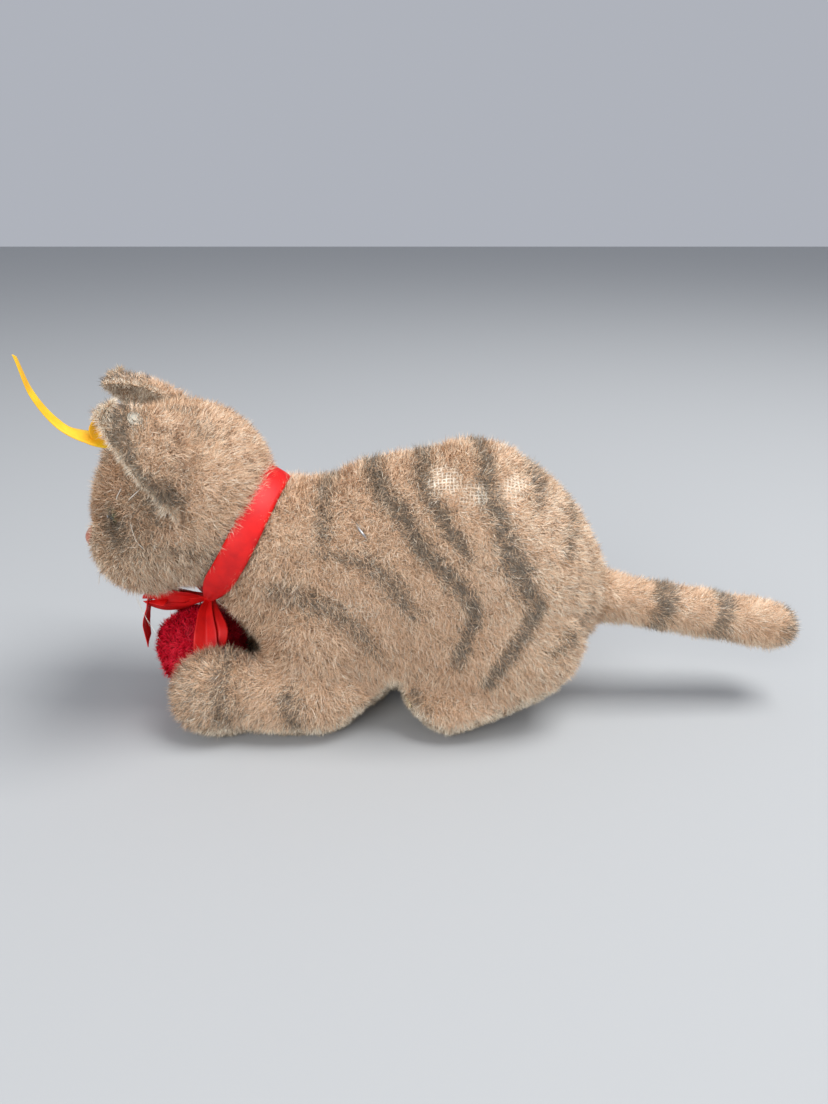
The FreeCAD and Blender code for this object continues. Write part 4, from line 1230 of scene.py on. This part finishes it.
# ---- tail
TAIL_SKIN_RADIUS = 7.2
TAIL_PILE_LENGTH = 4.4
TAIL_COLUMNS = 28
TAIL_ROWS = 26
CAP_ROWS = 9
# name, start, end and the two bodies of each length
TAIL_SPANS = [("base", -5.0, 13.5, "torso", "tail_base"), ("middle", 12.5, 39.5, "tail_base", "tail_middle"),
              ("tip", 38.5, TAIL_LENGTH - 1.0, "tail_middle", "tail_tip")]
# middle, half width and strength of each dark band
TAIL_BANDS = [(21.3, 4.4, 0.78), (44.5, 4.0, 0.78), (74.5, 6.0, 0.60)]


def tail_point(distance):
    """Point of the tail's core at a distance from its root."""
    return TAIL_ROOT + TAIL_ALONG * distance


def tail_skin(name, start, end, rounded):
    """Woven skin of one length of the tail, with a rounded end if asked."""
    along = np.linspace(start, end, TAIL_ROWS)
    radius = TAIL_SKIN_RADIUS + 0.25 * np.sin(along * 0.35) + 0.8 * np.exp(-np.maximum(along, 0) / 5.0)
    if rounded:
        cap = end - TAIL_SKIN_RADIUS
        curve = TAIL_SKIN_RADIUS * np.sin(np.linspace(0.12, 1.0, CAP_ROWS) * math.pi / 2)
        along = np.concatenate([np.linspace(start, cap, TAIL_ROWS - CAP_ROWS), cap + curve])
        over = np.clip((along - cap) / TAIL_SKIN_RADIUS, 0, 1)
        radius = TAIL_SKIN_RADIUS + 0.25 * np.sin(along * 0.35) * (over < 0.1)
        radius = np.maximum(radius * np.sqrt(np.clip(1 - over ** 2, 0, 1)), 0.05)
    side = np.array([1.0, 0.0, 0.0])
    up = np.cross(side, TAIL_ALONG)
    turn = round_turn(TAIL_COLUMNS)[None, :, None]
    ring = np.cos(turn) * side + np.sin(turn) * up
    points = (tail_point(along[:, None])[:, None] + ring * radius[:, None, None]).reshape(-1, 3)
    faces = [tuple(reversed(face)) for face in grid_faces(len(along), TAIL_COLUMNS, wrap=True)]
    return mesh_object(name, points, faces, backing)


def tail_pile(skin, name):
    """Pile of one length of the tail, ringed with soft dark bands."""
    mottle = Waves(8)
    tuft = wave_field(6)
    roots, upright = scatter(skin, "tail")
    away = (roots - TAIL_ROOT) @ TAIL_ALONG
    outward = roots - tail_point(away[:, None])
    upright = upright * np.where(dot(upright, outward) < 0, -1.0, 1.0)
    grey = np.zeros(len(roots))
    for middle, half, strength in TAIL_BANDS:
        gap = np.abs(away + mottle(roots) - middle)
        grey = np.maximum(grey, strength * (1 - smoothstep(half * 0.5, half * 1.4, gap)))
    grey = grey * (0.55 + 0.45 * smoothstep(-0.6, 0.3, upright[:, 2]))
    cream = 0.6 * (1 - smoothstep(-0.9, -0.4, upright[:, 2]))
    tones = draw_tones(grey, cream, mottle(roots))
    comb = TAIL_ALONG + tuft(roots) * 0.6
    return strands("tail", name, roots, upright, comb, TAIL_PILE_LENGTH + 0.5 * mottle(roots), tones)


def make_tail():
    """Three lengths of the tail, each with its skin and pile, in place of its CAD cover."""
    for index, (label, start, end, near, far) in enumerate(TAIL_SPANS):
        skin = tail_skin("tail_%s_skin" % label, start, end, label == "tip")
        pile = tail_pile(skin, "pile_tail_" + label)
        for piece in (skin, pile):
            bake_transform(piece)
        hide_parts("tail_cover_" + label)


# ---- pieces that keep their frame shape
def dress_frame():
    """Materials of the pieces inside and of the small metal and thread parts."""
    groups = [(stuffing, ["ball_stuffing"] + ["tail_stuffing_" + part for part in ("base", "middle", "tip")]),
              (fibreboard, ["head_disc", "body_disc"]),
              (steel, ["head_washer", "body_washer", "cotter_pin", "tail_wire_base", "tail_wire_middle",
                       "tail_wire_tip", "side_wire_staple", "eye_left_shank", "eye_right_shank"]),
              (nickel, ["ear_rivet", "rivet_washer"]), (pale_thread, ["closing_stitches"]),
              (wool_core, ["ball_stitches"])]
    for material, names in groups:
        for name in names:
            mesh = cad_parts[name].data
            mesh.materials.clear()
            mesh.materials.append(material)


make_body()
make_head()
make_ears()
make_tag()
make_eyes()
make_nose()
make_whiskers()
make_neckwear()
make_ball()
make_tail()
dress_frame()


# ---- stage
FLOOR_COLOUR = (0.44, 0.45, 0.455, 1.0)
SKY_STRENGTH = 0.50
SKY_COLOUR = (0.86, 0.90, 1.0, 1.0)
# name, place in m, side in m and power in W
SOFTBOXES = [("top_softbox", (0.10, 0.55, 1.30), 0.70, 18.5),
             ("front_softbox", (1.30, -0.55, 0.75), 0.80, 12.3)]
LIGHT_AIM = Vector((0.0, 0.0, 0.05))


def aim_object(thing, place, direction):
    """Put a lamp or a camera in its place, looking in a direction."""
    thing.location = place
    thing.rotation_mode = "QUATERNION"
    thing.rotation_quaternion = direction.to_track_quat("-Z", "Y")


def make_stage():
    """Plain pale floor and soft studio light."""
    material, nodes, links, shader = new_material("floor")
    set_inputs(shader, {"Base Color": FLOOR_COLOUR, "Roughness": 0.8})
    bpy.ops.mesh.primitive_plane_add(size=6.0, location=(0, 0, 0))
    floor = bpy.context.object
    floor.name = "floor"
    floor.data.materials.append(material)
    world = bpy.data.worlds.new("studio")
    bpy.context.scene.world = world
    world.use_nodes = True
    set_inputs(world.node_tree.nodes["Background"], {"Color": SKY_COLOUR, "Strength": SKY_STRENGTH})
    for name, place, size, power in SOFTBOXES:
        light = bpy.data.lights.new(name, "AREA")
        light.energy = power
        light.size = size
        aim_object(add_object(name, light), place, LIGHT_AIM - Vector(place))


CAMERA_PLACE = (0.296, 0.012, 0.187)
CAMERA_PITCH = math.radians(22.8)
CAMERA_LENS = 28.04
CAMERA_SENSOR = 36.0


def make_camera():
    """Camera beside the cat's left flank, looking slightly down."""
    camera = add_object("camera", bpy.data.cameras.new("camera"))
    camera.data.lens = CAMERA_LENS
    camera.data.sensor_width = CAMERA_SENSOR
    camera.data.clip_start = 0.01
    aim_object(camera, CAMERA_PLACE, Vector((-math.cos(CAMERA_PITCH), 0.0, -math.sin(CAMERA_PITCH))))
    bpy.context.scene.camera = camera


make_stage()
make_camera()
bpy.context.scene.view_settings.view_transform = "Standard"
